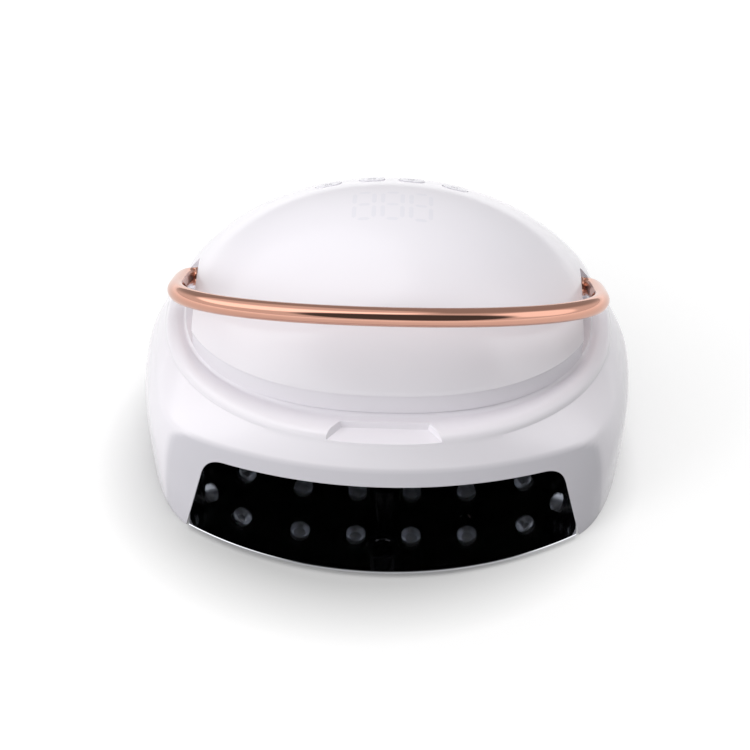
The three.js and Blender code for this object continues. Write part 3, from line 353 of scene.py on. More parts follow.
def ring_lathe(name: str, profile: Sequence[Point], columns: int = 48) -> bpy.types.Object:
    """Spin a profile that stays off the axis into a closed ring.

    Args:
        name: The new object's name.
        profile: Points of radius and height, in order round the section.
        columns: How many faces go round.

    Returns:
        The turned ring.
    """
    bpy.ops.object.select_all(action="DESELECT")
    bpy.ops.mesh.primitive_circle_add(vertices=len(profile), radius=MM, fill_type="NOTHING")
    obj = bpy.context.active_object
    obj.name = name
    for vertex, (radius, height) in zip(obj.data.vertices, profile):
        vertex.co = (radius, 0, height)
    with edit_mode(obj):
        bpy.ops.mesh.spin(steps=columns, angle=2 * math.pi, center=(0, 0, 0), axis=(0, 0, 1))
    clean(obj)
    return obj


def block(name: str, low: Sequence[float], high: Sequence[float]) -> bpy.types.Object:
    """Add a box between two corners, its place in its mesh.

    Args:
        name: The new object's name.
        low: The lowest corner.
        high: The highest corner.

    Returns:
        The box.
    """
    bpy.ops.object.select_all(action="DESELECT")
    bpy.ops.mesh.primitive_cube_add(size=1)
    obj = bpy.context.active_object
    obj.name = name
    size = [b - a for a, b in zip(low, high)]
    middle = [(a + b) / 2 for a, b in zip(low, high)]
    return settle(obj, Matrix.Translation(middle) @ Matrix.Diagonal((*size, 1)))


def prism(name: str, outline: Sequence[Point], low: float, high: float) -> bpy.types.Object:
    """Push an outline in X and Y up between two heights.

    Args:
        name: The new object's name.
        outline: The corners, in order.
        low: Height of the lower face.
        high: Height of the upper face.

    Returns:
        The prism.
    """
    count = len(outline)
    middle = [sum(axis) / count for axis in zip(*outline)]
    loft = Loft(name, count, Vector((*middle, low)), lambda i: Vector((*outline[i], low)))
    loft.ring(lambda i: Vector((*outline[i], high)))
    return loft.close(Vector((*middle, high)))


def pill_outline(length: float, width: float, steps: int = 16) -> list[Point]:
    """Outline of a pill along X.

    Args:
        length: From end to end.
        width: Across.
        steps: Points on each round end.

    Returns:
        The outline's points.
    """
    radius = width / 2
    run = length / 2 - radius
    points = []
    for side, start in ((1, -math.pi / 2), (-1, math.pi / 2)):
        for i in range(steps + 1):
            turn = start + math.pi * i / steps
            points.append((side * run + radius * math.cos(turn), radius * math.sin(turn)))
    return points


# Finishes


def linear(code: str) -> tuple[float, float, float, float]:
    """Turn an sRGB hex value into a linear colour.

    Args:
        code: Six hex digits.

    Returns:
        Red, green, blue and an alpha of 1.
    """
    parts = [int(code[i : i + 2], 16) / 255 for i in (0, 2, 4)]
    bright = [v / 12.92 if v <= 0.04045 else ((v + 0.055) / 1.055) ** 2.4 for v in parts]
    return (*bright, 1.0)


def add_node(
    tree: bpy.types.NodeTree, kind: str, inputs: dict | None = None, **settings: object
) -> bpy.types.Node:
    """Add a shader node with its settings and links.

    Args:
        tree: The material's node tree.
        kind: Blender's name of the node type.
        inputs: Sockets by name, each with a value or the socket that feeds it.
        settings: Values for the node's own properties.

    Returns:
        The new node.
    """
    node = tree.nodes.new(kind)
    for name, value in settings.items():
        setattr(node, name, value)
    for name, value in (inputs or {}).items():
        if isinstance(value, bpy.types.NodeSocket):
            tree.links.new(value, node.inputs[name])
        else:
            node.inputs[name].default_value = value
    return node


@dataclass(frozen=True)
class Finish:
    """A surface as it was made: its colours, gloss and the grain that its making leaves."""

    name: str
    colour: str
    tint: str
    patch: float = 30 * MM
    roughness: tuple[float, float] = (0.2, 0.3)
    grain: float = 1.5 * MM
    relief: float = 0.0
    metallic: float = 0.0
    ior: float = 1.5
    coat: float = 0.0
    coat_roughness: float = 0.03
    transmission: float = 0.0
    sheen: float = 0.0

    def build(self) -> bpy.types.Material:
        """Make the node material.

        Returns:
            The material.
        """
        material = bpy.data.materials.new(self.name)
        material.use_nodes = True
        tree = material.node_tree
        tree.nodes.clear()
        shader = add_node(tree, "ShaderNodeBsdfPrincipled", {
            "Metallic": self.metallic,
            "Coat Weight": self.coat,
            "Coat Roughness": self.coat_roughness,
            "Transmission Weight": self.transmission,
            "Sheen Weight": self.sheen,
        })
        if not self.metallic:
            shader.inputs["IOR"].default_value = self.ior
        place = add_node(tree, "ShaderNodeTexCoord").outputs["Object"]
        self.colour_nodes(tree, place, shader)
        fine = add_node(tree, "ShaderNodeTexNoise", {
            "Vector": place,
            "Scale": 1 / self.grain,
            "Detail": 3.0,
        })
        gloss = add_node(tree, "ShaderNodeMapRange", {
            "Value": fine.outputs["Fac"],
            "From Min": NOISE_SPAN[0],
            "From Max": NOISE_SPAN[1],
            "To Min": self.roughness[0],
            "To Max": self.roughness[1],
        })
        tree.links.new(gloss.outputs["Result"], shader.inputs["Roughness"])
        if self.relief:
            bump = add_node(tree, "ShaderNodeBump", {
                "Height": fine.outputs["Fac"],
                "Strength": 1.0,
                "Distance": self.relief,
            })
            tree.links.new(bump.outputs["Normal"], shader.inputs["Normal"])
        end = add_node(tree, "ShaderNodeOutputMaterial")
        tree.links.new(shader.outputs["BSDF"], end.inputs["Surface"])
        return material

    def colour_nodes(
        self, tree: bpy.types.NodeTree, place: bpy.types.NodeSocket, shader: bpy.types.Node
    ) -> None:
        """Feed the base colour from two close tints in soft patches.

        Args:
            tree: The material's node tree.
            place: The coordinates of the pattern.
            shader: The surface shader.
        """
        cloud = add_node(tree, "ShaderNodeTexNoise", {
            "Vector": place,
            "Scale": 1 / self.patch,
            "Detail": 2.0,
        })
        mix = add_node(tree, "ShaderNodeMix", {
            "Factor": cloud.outputs["Fac"],
            "A": linear(self.colour),
            "B": linear(self.tint),
        }, data_type="RGBA")
        colour = [socket for socket in mix.outputs if socket.type == "RGBA"][0]
        tree.links.new(colour, shader.inputs["Base Color"])


@dataclass(frozen=True)
class BoardFinish(Finish):
    """Solder-masked board: green with a grid of copper tracks under the mask."""

    track: float = 2.5 * MM
    copper: str = "3d7d55"

    def colour_nodes(
        self, tree: bpy.types.NodeTree, place: bpy.types.NodeSocket, shader: bpy.types.Node
    ) -> None:
        """Feed the base colour from a pattern of tracks.

        Args:
            tree: The material's node tree.
            place: The coordinates of the pattern.
            shader: The surface shader.
        """
        bricks = add_node(tree, "ShaderNodeTexBrick", {
            "Vector": place,
            "Color1": linear(self.colour),
            "Color2": linear(self.tint),
            "Mortar": linear(self.copper),
            "Scale": 1.0,
            "Mortar Size": 0.12 * self.track,
            "Brick Width": 3 * self.track,
            "Row Height": self.track,
        })
        tree.links.new(bricks.outputs["Color"], shader.inputs["Base Color"])


@dataclass(frozen=True)
class PaintedShadeFrontFinish(Finish):
    """A finish with a second, greyer tint where the piece's own attribute marks its front: painted shade of
    the front face.
    """

    # The greyer white of the front frame is painted shade, not a colour of the plastic.
    front: str = "d1cfd6"
    layer: str = "front_frame_painted_shade"

    def colour_nodes(
        self, tree: bpy.types.NodeTree, place: bpy.types.NodeSocket, shader: bpy.types.Node
    ) -> None:
        """Feed the base colour, then lay the front's painted shade over it.

        Args:
            tree: The material's node tree.
            place: The coordinates of the pattern.
            shader: The surface shader.
        """
        super().colour_nodes(tree, place, shader)
        base = shader.inputs["Base Color"].links[0].from_socket
        # The attribute gives where the painted shade of the front frame lies.
        mark = add_node(tree, "ShaderNodeAttribute", attribute_name=self.layer)
        mix = add_node(tree, "ShaderNodeMix", {
            "Factor": mark.outputs["Fac"],
            "A": base,
            "B": linear(self.front),
        }, data_type="RGBA")
        colour = [socket for socket in mix.outputs if socket.type == "RGBA"][0]
        tree.links.new(colour, shader.inputs["Base Color"])


# Glossy injection-moulded ABS: a mirror-like white skin over a faint unevenness of the mould.
WHITE_ABS = Finish(
    "glossy_white_abs", "f1eef4", "eeebf1", 45 * MM, (0.13, 0.19), 9 * MM, 0.004 * MM, coat=0.1
)
# The housing's ABS is the same, but its front frame is painted a greyer white: painted shade of the front
# face, which turns away from the light above.
SHELL_ABS_WITH_PAINTED_SHADE = PaintedShadeFrontFinish(
    "glossy_white_shell_abs_painted_front_shade", WHITE_ABS.colour, WHITE_ABS.tint, WHITE_ABS.patch, WHITE_ABS.roughness,
    WHITE_ABS.grain, WHITE_ABS.relief, coat=WHITE_ABS.coat,
)
# The same ABS on the keys, a touch less glossy so that they read as separate pieces.
KEY_ABS = Finish("satin_white_abs", "eeecf2", "e9e7ee", 12 * MM, (0.24, 0.32), 2 * MM, 0.003 * MM)
# Piano black ABS: deep black with a clear reflection.
BLACK_ABS = Finish("piano_black_abs", "0d0d10", "121215", 40 * MM, (0.07, 0.13), 7 * MM, 0.003 * MM)
# Spark-eroded black ABS of the switch and socket: a fine matt grain.
GRAINED_ABS = Finish("grained_black_abs", "141416", "1b1b1e", 6 * MM, (0.42, 0.6), 0.35 * MM, 0.02 * MM)
# Rose gold plated brass tube, polished: warm pink metal with faint draw lines.
ROSE_GOLD = Finish("polished_rose_gold", "cd9d8b", "c79582", 25 * MM, (0.05, 0.1), 3 * MM, metallic=1.0)
# Mirror-finished stainless sheet of the base plate: a clear, slightly cool reflection.
MIRROR = Finish(
    "mirror_steel_sheet", "d9dade", "d2d4d9", 60 * MM, (0.02, 0.05), 14 * MM, 0.0015 * MM, metallic=1.0
)
# Clear polycarbonate of the LED lenses: water clear with a slight blue-grey cast.
LENS = Finish(
    "clear_polycarbonate", "eef1f6", "e6eaf2", 4 * MM, (0.03, 0.07), 2 * MM, ior=1.58, transmission=0.92
)
# Pale yellow phosphor over the bare die under each lens: a small matt spot.
DIE = Finish("led_die", "f2ecd2", "dcd8cc", 0.8 * MM, (0.3, 0.5), 0.3 * MM)
# Silvered cup round each die: a satin mirror that gathers the light into soft highlights.
CUP = Finish("silvered_cup", "eef0f3", "e2e4e8", 1.5 * MM, (0.28, 0.42), 0.6 * MM, metallic=1.0)
# Zinc plated steel of screws, nuts and straps: a cool grey metal with a dull, cloudy shine.
ZINC = Finish(
    "zinc_plated_steel", "b4b7bc", "a3a6ac", 2 * MM, (0.25, 0.42), 0.4 * MM, 0.004 * MM, metallic=1.0
)
# Moulded rubber of the feet and washers: black and matt, with no clear highlight.
RUBBER = Finish("moulded_rubber", "1a1a1c", "222225", 3 * MM, (0.65, 0.85), 0.3 * MM, 0.03 * MM, sheen=0.1)
# Glass-filled nylon of the battery tray: a grey, dry-looking skin with a fine grain.
NYLON = Finish("grey_nylon", "54575d", "484b51", 5 * MM, (0.45, 0.6), 0.5 * MM, 0.015 * MM)
# Blue shrink wrap of the cells: a thin film with a soft sheen and slight ripples.
WRAP = Finish("blue_shrink_wrap", "2f6fa8", "2a6499", 8 * MM, (0.3, 0.42), 1.5 * MM, 0.01 * MM)
# Solder-masked glass epoxy of the boards: deep green with paler tracks under the mask.
BOARD = BoardFinish("solder_masked_board", "1c5437", "1f5a3c", 2 * MM, (0.3, 0.45), 1 * MM)
# Grey pad print of the numbers on the keys: a thin matt ink.
PRINT = Finish("grey_pad_print", "9a98a0", "a5a3ab", 1 * MM, (0.4, 0.5), 0.4 * MM)
# The display's segments, seen faintly through the white skin.
HIDDEN_LIGHT = Finish("unlit_display_segments", "ebe9f0", "e8e6ed", 3 * MM, (0.14, 0.2), 2 * MM)


class Wardrobe:
    """Builds each finish once and puts it on pieces."""

    def __init__(self) -> None:
        """Start with nothing built."""
        self.built: dict[str, bpy.types.Material] = {}

    def dress(self, obj: bpy.types.Object, finish: Finish) -> None:
        """Give a piece its finish.

        Args:
            obj: The piece.
            finish: The finish of all its faces.
        """
        if finish.name not in self.built:
            self.built[finish.name] = finish.build()
        obj.data.materials.clear()
        obj.data.materials.append(self.built[finish.name])


WARDROBE = Wardrobe()


def hand_over(obj: bpy.types.Object, body: str, slot: str, finish: Finish, *nodes: str) -> None:
    """Dress a finished piece and hang it on its body.

    Args:
        obj: The piece, in place.
        body: The body that it moves with.
        slot: Not used.
        finish: The finish of its faces.
        nodes: The plain solids that it stands for.
    """
    WARDROBE.dress(obj, finish)
    columns = obj.data.attributes.get("column")
    if columns:
        obj.data.attributes.remove(columns)
    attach(obj, body)
    if nodes:
        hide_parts(*nodes)
    LOG.info("%s: %d faces on %s", obj.name, len(obj.data.polygons), body)


# Shapes that several pieces share


def oval(c: float, s: float, a: float, b: float, n: float) -> float:
    """Radius of a superellipse in a direction.

    Args:
        c: Cosine of the direction.
        s: Sine of the direction.
        a: Half width along X.
        b: Half depth along Y.
        n: Exponent, 2 for an ellipse.

    Returns:
        The distance from the middle.
    """
    return (abs(c / a) ** n + abs(s / b) ** n) ** (-1 / n)


@dataclass(frozen=True)
class BodyForm:
    """The housing's outer form: a flared skirt, a shoulder, a ridge and the gutter inside it."""

    centre_y: float = 10 * MM
    half_width: float = 127 * MM
    half_depth: float = 115 * MM
    bulge_height: float = 30 * MM
    bulge_radius: float = 300 * MM
    bulge_top_radius: float = 34 * MM
    bulge_back_radius: float = 50 * MM
    flank_y: float = 15 * MM
    flank_reach: float = 176 * MM
    face_front: float = 95.5 * MM
    face_radius: float = 230 * MM
    face_lean: float = 0.311
    lintel: float = 41.5 * MM
    shoulder: float = 50.5 * MM
    ridge_foot: float = 62 * MM
    ridge_width: float = 115 * MM
    ridge_depth: float = 98 * MM
    ridge_back: float = 87 * MM
    ridge_top: float = 66.8 * MM
    ridge_round: float = 6 * MM
    ridge_shape: float = 2.15
    shoulder_shape: float = 1.15
    corner: float = 24.0

    def face_reach(self, s: float, height: float) -> float:
        """Distance to the front face, a round wall that leans back.

        Args:
            s: Sine of the direction in plan.
            height: Height over the ground.

        Returns:
            The distance from the plan's middle.
        """
        front = -self.face_front + (height - self.lintel) * self.face_lean
        shift = self.centre_y - front - self.face_radius
        return -s * shift + math.sqrt((s * shift) ** 2 - shift**2 + self.face_radius**2)

    def flank_radius(self, c: float, s: float, height: float) -> float:
        """Distance to the bulging flanks and back.

        Args:
            c: Cosine of the direction in plan.
            s: Sine of the direction in plan.
            height: Height over the ground.

        Returns:
            The distance from the plan's middle.
        """
        over = max(height - self.bulge_height, 0.0) ** 2 / 2
        under = max(self.bulge_height - height, 0.0) ** 2 / 2
        a = self.half_width - over / self.bulge_top_radius - under / self.bulge_radius
        rear = self.half_depth - self.flank_y - over / self.bulge_back_radius
        shift = self.centre_y - self.flank_y

        def reach(depth: float) -> float:
            """Distance to an ellipse that is this deep."""
            p = (c / a) ** 2 + (s / depth) ** 2
            q = s * shift / depth**2
            return (-q + math.sqrt(q * q - p * ((shift / depth) ** 2 - 1))) / p

        forward = reach(self.flank_reach)
        return forward if forward * s + shift < 0 else reach(rear)

    def skirt(self, c: float, s: float, height: float) -> float:
        """Radius of the skirt: flank and front face with a soft corner between them.

        Args:
            c: Cosine of the direction in plan.
            s: Sine of the direction in plan.
            height: Height over the ground.

        Returns:
            The distance from the plan's middle.
        """
        flank = self.flank_radius(c, s, height)
        face = self.face_reach(s, height)
        return (flank**-self.corner + face**-self.corner) ** (-1 / self.corner)

    def ridge(self, c: float, s: float, out: float = 0.0) -> float:
        """Radius of the ridge, moved out by a distance."""
        depth = self.ridge_back if s > 0 else self.ridge_depth
        return oval(c, s, self.ridge_width, depth, self.ridge_shape) + out

    def shoulder_at(self, c: float, s: float, share: float) -> float:
        """Radius on the shoulder, between the skirt and the ridge.

        Args:
            c: Cosine of the direction in plan.
            s: Sine of the direction in plan.
            share: Share of the shoulder's height.

        Returns:
            The distance from the plan's middle.
        """
        ridge = self.ridge(c, s)
        return ridge + (self.skirt(c, s, self.shoulder) - ridge) * (1 - share**self.shoulder_shape)

    def front_y(self, x: float, height: float) -> float:
        """Where the front face lies.

        Args:
            x: Distance from the middle plane.
            height: Height over the ground.

        Returns:
            The face's Y there.
        """
        low, high = -150 * MM, -40 * MM
        for _ in range(30):
            middle = (low + high) / 2
            reach = math.hypot(x, middle - self.centre_y)
            inside = reach < self.skirt(x / reach, (middle - self.centre_y) / reach, height)
            low, high = (low, middle) if inside else (middle, high)
        return low


@dataclass(frozen=True)
class DomeForm:
    """The cover's outer form: a flattened ellipsoid, a rim and the riser under it."""

    centre_y: float = 8.5 * MM
    base: float = 32 * MM
    half_width: float = 120 * MM
    half_depth: float = 96 * MM
    apex: float = 131 * MM
    rim: float = 80 * MM
    rim_flat: float = 0.047
    rim_shape: float = 0.3
    overhang: float = 1.1 * MM

    def radius(self, c: float, s: float, height: float, inset: float = 0.0) -> float:
        """Radius of the dome at a height.

        Args:
            c: Cosine of the direction in plan.
            s: Sine of the direction in plan.
            height: Height over the ground.
            inset: How far the form is drawn in.

        Returns:
            The distance from the dome's middle.
        """
        tall = self.apex - self.base - inset
        part = math.sqrt(max(1 - ((height - self.base) / tall) ** 2, 0.0))
        down = (self.apex - height) / (self.apex - self.rim)
        depth = (self.half_depth - inset) * part * (1 - self.rim_flat * down)
        return oval(c, s, (self.half_width - inset) * part, depth, 2 + self.rim_shape * down)

    def riser(self, c: float, s: float, inset: float = 0.0) -> float:
        """Radius of the wall under the rim."""
        return self.radius(c, s, self.rim) - self.overhang - inset

    def top(self, x: float, y: float, proud: float = 0.0) -> float:
        """Height of the dome's surface over a place in plan.

        Args:
            x: Place along X.
            y: Place along Y.
            proud: How far over the surface.

        Returns:
            The height.
        """
        tall = self.apex - self.base + proud
        wide = (x / (self.half_width + proud)) ** 2
        deep = ((y - self.centre_y) / (self.half_depth + proud)) ** 2
        return self.base + tall * math.sqrt(1 - wide - deep)


BODY = BodyForm()
DOME = DomeForm()


# Housing


@dataclass
class Housing:
    """White housing: the flared body with its hand opening, finger recess and rear panel recess."""

    columns: int = 360
    trim_columns: int = 96
    trim: float = 0.04 * MM
    wall: float = 2.5 * MM
    foot_round: float = 0.8 * MM
    under_ground: float = -3 * MM
    riser_gap: float = 0.3 * MM
    deck_top: float = 67.7 * MM
    deck_under: float = 65.1 * MM
    deck_inset: float = 6 * MM
    gutter_dip: float = 0.6 * MM
    gutter_drop: float = 0.35
    gutter_shape: float = 2.5
    opening_half: float = 98.6 * MM
    opening_top_half: float = 87.5 * MM
    opening_corner: float = 9 * MM
    edge_round: float = 0.9 * MM
    recess_back: float = 21 * MM
    recess_front: float = 33.5 * MM
    recess_back_y: float = -76.5 * MM
    recess_front_y: float = -93 * MM
    recess_floor: float = 63.4 * MM
    recess_top: float = 71 * MM
    recess_lip: float = 3 * MM
    recess_reach: float = 8 * MM
    recess_draft: float = 2 * MM
    recess_wall: float = 1.2 * MM
    panel_half: float = 32 * MM
    panel_low: float = 18 * MM
    panel_high: float = 46 * MM
    panel_y: float = 107 * MM
    panel_round: float = 4 * MM
    socket_hole: float = 4.9 * MM
    switch_hole: Point = (9.6 * MM, 6.3 * MM)
    # Where the front frame's painted shade ends: past a turn from the front and above a height, fading
    # softly.
    painted_shade_turn: float = 47.0
    painted_shade_top: float = 43 * MM
    painted_shade_fade: float = 8.0
    painted_shade_fade_up: float = 8 * MM
    painted_shade_end: float = 1.1
    painted_shade_blur: float = 0.3
    wall_heights: tuple[float, ...] = (10 * MM, 20 * MM, 30 * MM, 37 * MM, 44 * MM)

    def build(self) -> None:
        """Model the housing and dress it."""
        shell = self.shell()
        combine(shell, self.opening_tool(), Cut.REMOVE)
        backing = self.recess_tool(self.recess_wall, 0.0)
        combine(backing, self.outer_skin(), Cut.KEEP)
        combine(shell, backing, Cut.ADD)
        combine(shell, self.recess_tool(0.0, self.recess_reach), Cut.REMOVE)
        self.cut_rear(shell)
        clean(shell)
        smooth(shell, 32)
        self.paint_front_shade(shell)
        hand_over(shell, "housing", "white_shell", SHELL_ABS_WITH_PAINTED_SHADE, "housing_shell")

    def paint_front_shade(self, shell: bpy.types.Object) -> None:
        """Mark where the front frame's painted shade goes, with a soft edge and rounded upper corners.

        Args:
            shell: The housing's shell.
        """
        layer = shell.data.attributes.new(SHELL_ABS_WITH_PAINTED_SHADE.layer, "FLOAT", "POINT")
        for vertex, mark in zip(shell.data.vertices, layer.data):
            turn = math.degrees(math.atan2(abs(vertex.co.x), BODY.centre_y - vertex.co.y))
            aside = max(turn - self.painted_shade_turn, 0.0) / self.painted_shade_fade
            above = max(vertex.co.z - self.painted_shade_top, 0.0) / self.painted_shade_fade_up
            share = min(max((self.painted_shade_end - math.hypot(aside, above)) / self.painted_shade_blur, 0.0), 1.0)
            mark.value = share * share * (3 - 2 * share)

    def outer_rings(self, turns: Sequence[Point]) -> list[Place]:
        """Rings of the outer skin from the riser's foot to the ground.

        Args:
            turns: The directions of the columns.

        Returns:
            The places of each ring.
        """
        rings = []

        def ring(radius: Callable[[float, float], float], height: float) -> None:
            """Note one more ring."""
            rings.append(plan_ring(turns, BODY.centre_y, radius, height))

        def gutter(c: float, s: float, share: float) -> float:
            """Radius in the gutter, at a share of its width."""
            foot = DOME.riser(c, s) + self.riser_gap
            return foot + (BODY.ridge(c, s, -BODY.ridge_round) - foot) * share

        dip = BODY.ridge_top - self.gutter_dip
        for step in range(13):
            t = step / 12
            rise = (self.deck_top - dip) * max(1 - t / self.gutter_drop, 0.0) ** self.gutter_shape
            rise += self.gutter_dip * (3 * t**2 - 2 * t**3)
            ring(lambda c, s, t=t: gutter(c, s, t), dip + rise)
        for step in range(1, 9):
            turn = math.radians(90 - 11.25 * step)
            height = BODY.ridge_foot + (BODY.ridge_top - BODY.ridge_foot) * math.sin(turn)
            out = BODY.ridge_round * (math.cos(turn) - 1)
            ring(lambda c, s, out=out: BODY.ridge(c, s, out), height)
        for step in range(1, 9):
            share = 1 - step / 8
            height = BODY.shoulder + (BODY.ridge_foot - BODY.shoulder) * share
            ring(lambda c, s, k=share: BODY.shoulder_at(c, s, k), height)
        for step in range(1, 26):
            height = BODY.shoulder + (self.foot_round - BODY.shoulder) * step / 25
            ring(lambda c, s, h=height: BODY.skirt(c, s, h), height)
        return rings

    def shell(self) -> bpy.types.Object:
        """Loft the shell: down the outside, round the foot, up the inside and under the deck.

        Returns:
            The closed shell.
        """
        turns = directions(self.columns)
        loft = self.begin("housing_shell_skin", turns)
        for place in self.outer_rings(turns):
            loft.ring(place)
        for turn in (30, 60, 90):
            drop = self.foot_round * (1 - math.sin(math.radians(turn)))
            inset = self.foot_round * (1 - math.cos(math.radians(turn)))
            loft.ring(plan_ring(turns, BODY.centre_y, lambda c, s, v=inset: BODY.skirt(c, s, 0) - v, drop))
        for place in self.inner_rings(turns, self.wall, 0.0):
            loft.ring(place)
        return loft.close(Vector((0, BODY.centre_y, self.deck_under)))

    def begin(self, name: str, turns: Sequence[Point]) -> Loft:
        """Start a skin on the deck, out of sight under the cover.

        Args:
            name: The new object's name.
            turns: The directions of its columns.

        Returns:
            The skin with its first fan of faces.
        """
        start = plan_ring(
            turns, BODY.centre_y, lambda c, s: DOME.riser(c, s) - self.deck_inset, self.deck_top
        )
        return Loft(name, len(turns), Vector((0, BODY.centre_y, self.deck_top)), start)

    def inner_rings(self, turns: Sequence[Point], inset: float, foot: float) -> list[Place]:
        """Rings up the inside of the walls to the deck's underside.

        Args:
            turns: The directions of the columns.
            inset: How far inside the outer skin.
            foot: Height of the lowest ring.

        Returns:
            The places of each ring.
        """
        rings = []

        def ring(radius: Callable[[float, float], float], height: float) -> None:
            """Note one more ring."""
            rings.append(plan_ring(turns, BODY.centre_y, radius, height))

        for height in (foot, *self.wall_heights, BODY.shoulder):
            ring(lambda c, s, h=height: BODY.skirt(c, s, h) - inset, height)
        for share in (0.25, 0.5, 0.75, 1.0):
            height = BODY.shoulder + (BODY.ridge_foot - BODY.shoulder) * share
            ring(lambda c, s, k=share: BODY.shoulder_at(c, s, k) - inset, height)
        ring(lambda c, s: BODY.ridge(c, s, -BODY.ridge_round / 2 - inset), self.deck_under)
        return rings

    def outer_skin(self) -> bpy.types.Object:
        """A plain solid just inside the outer form, to trim pieces that back a recess.

        Returns:
            The solid.
        """
        turns = directions(self.trim_columns)
        inwards = [Vector((c * self.trim, s * self.trim, self.trim)) for c, s in turns]
        loft = self.begin("outer_form", turns)
        for place in self.outer_rings(turns):
            loft.ring(lambda i, p=place: p(i) - inwards[i])
        return loft.close(Vector((0, BODY.centre_y, 0)))

    def opening_slope(self) -> float:
        """How much the hand opening's half width shrinks for its height."""
        return (self.opening_half - self.opening_top_half) / BODY.lintel

    def opening_outline(self) -> list[tuple[Point, Point]]:
        """Outline of the hand opening seen from the front, with its outward normals.

        Returns:
            Places in X and Z, each with its normal.
        """
        low, top, turn = self.under_ground, BODY.lintel, self.opening_corner
        foot = self.opening_half - self.opening_slope() * low
        knee = self.opening_top_half + self.opening_slope() * turn
        last = self.opening_top_half - turn
        points = []
        for step in range(12):
            t = step / 12
            points.append((foot + (knee - foot) * t, low + (top - turn - low) * t))
        for step in range(13):
            t = step / 12
            weights = ((1 - t) ** 2, 2 * t * (1 - t), t**2)
            x = sum(w * v for w, v in zip(weights, (knee, self.opening_top_half, last)))
            z = sum(w * v for w, v in zip(weights, (top - turn, top, top)))
            points.append((x, z))
        for step in range(1, 28):
            points.append((last * (1 - step / 27), top))
        whole = points + [(-x, z) for x, z in reversed(points[:-1])]
        result = []
        for i, point in enumerate(whole):
            before, after = whole[max(i - 1, 0)], whole[min(i + 1, len(whole) - 1)]
            run = Vector((after[0] - before[0], after[1] - before[1])).normalized()
            result.append((point, (run.y, -run.x)))
        return result

    def opening_tool(self) -> bpy.types.Object:
        """Tool for the hand opening, flared at the face so that the cut has a rounded edge.

        Returns:
            The solid to cut with.
        """
        outline = self.opening_outline()
        depths = [BODY.front_y(min(abs(x), self.opening_half), max(z, 0.0)) for (x, z), _ in outline]
        turns = [math.radians(angle) for angle in (0, 20, 40, 60, 80)]
        flares = [(1.0 - math.cos(turn), 1.0 - math.sin(turn)) for turn in turns]
        inner, outer, low = -60 * MM, -150 * MM, self.under_ground

        def place(flare: float, depth: float, absolute: float | None = None) -> Place:
            """Ring of the outline, moved out by a flare, at a depth behind the face or at a fixed Y."""

            def at(i: int) -> Vector:
                """Place of one point of the outline."""
                (x, z), (nx, nz) = outline[i]
                y = absolute if absolute is not None else depths[i] + depth
                return Vector((x + nx * flare, y, z + nz * flare))

            return at

        loft = Loft("opening_tool", len(outline), Vector((0, inner, low)), place(0, 0, inner))
        for out, down in flares:
            loft.ring(place(self.edge_round * out, self.edge_round * down))
        clear = 1.15 * self.edge_round
        loft.ring(place(clear, -0.25 * self.edge_round))
        loft.ring(place(clear, 0, outer))
        return loft.close(Vector((0, outer, low)))

    def recess_tool(self, grow: float, reach: float) -> bpy.types.Object:
        """Tool for the finger recess, or grown, the block that backs it.

        Args:
            grow: How much larger than the recess.
            reach: How far past the front and top it runs.

        Returns:
            The solid.
        """
        bottom = self.recess_floor - grow
        top = self.recess_top - grow
        draft = self.recess_draft * (top - bottom) / (self.recess_top - self.recess_floor)
        back, front = self.recess_back + grow, self.recess_front + grow
        end = self.recess_front_y - self.recess_lip - reach
        outline = [
            (-back, self.recess_back_y + grow), (-front, self.recess_front_y), (-front, end),
            (front, end), (front, self.recess_front_y), (back, self.recess_back_y + grow),
        ]
        tool = prism("recess_tool", outline, bottom, top)
        for vertex in tool.data.vertices:
            if vertex.co.z > (bottom + top) / 2 and abs(vertex.co.x) > MM:
                vertex.co.x += math.copysign(draft, vertex.co.x)
                if vertex.co.y > self.recess_back_y - draft:
                    vertex.co.y += draft
        return tool

    def room(self, gap: float) -> bpy.types.Object:
        """The space inside the housing's walls.

        Args:
            gap: How far inside them it stays.

        Returns:
            The solid.
        """
        columns = 120
        first, *rest = self.inner_rings(directions(columns), self.wall + gap, self.under_ground)
        loft = Loft("room", columns, Vector((0, BODY.centre_y, self.under_ground)), first)
        for place in rest:
            loft.ring(place)
        return loft.close(Vector((0, BODY.centre_y, self.deck_under)))

    def cut_rear(self, shell: bpy.types.Object) -> None:
        """Sink the rear panel into the back of the shell, with its two holes.

        Args:
            shell: The housing's shell.
        """
        centre = (self.panel_low + self.panel_high) / 2
        half_high = (self.panel_high - self.panel_low) / 2

        def plate(name: str, grow: float, near: float, far: float) -> bpy.types.Object:
            """Rounded block of the panel's outline, grown by a margin, between two places in Y."""
            radius = self.panel_round + grow
            outline = []
            for quarter, (sx, sz) in enumerate(((1, 1), (-1, 1), (-1, -1), (1, -1))):
                for step in range(9):
                    turn = math.radians(90 * quarter + 90 * step / 8)
                    x = sx * (self.panel_half + grow - radius) + radius * math.cos(turn)
                    z = sz * (half_high + grow - radius) + radius * math.sin(turn)
                    outline.append((x, z))
            slab = prism(name, outline, near, far)
            upright = Matrix(((1, 0, 0, 0), (0, 0, 1, 0), (0, 1, 0, 0), (0, 0, 0, 1)))
            return settle(slab, Matrix.Translation((0, 0, centre)) @ upright)

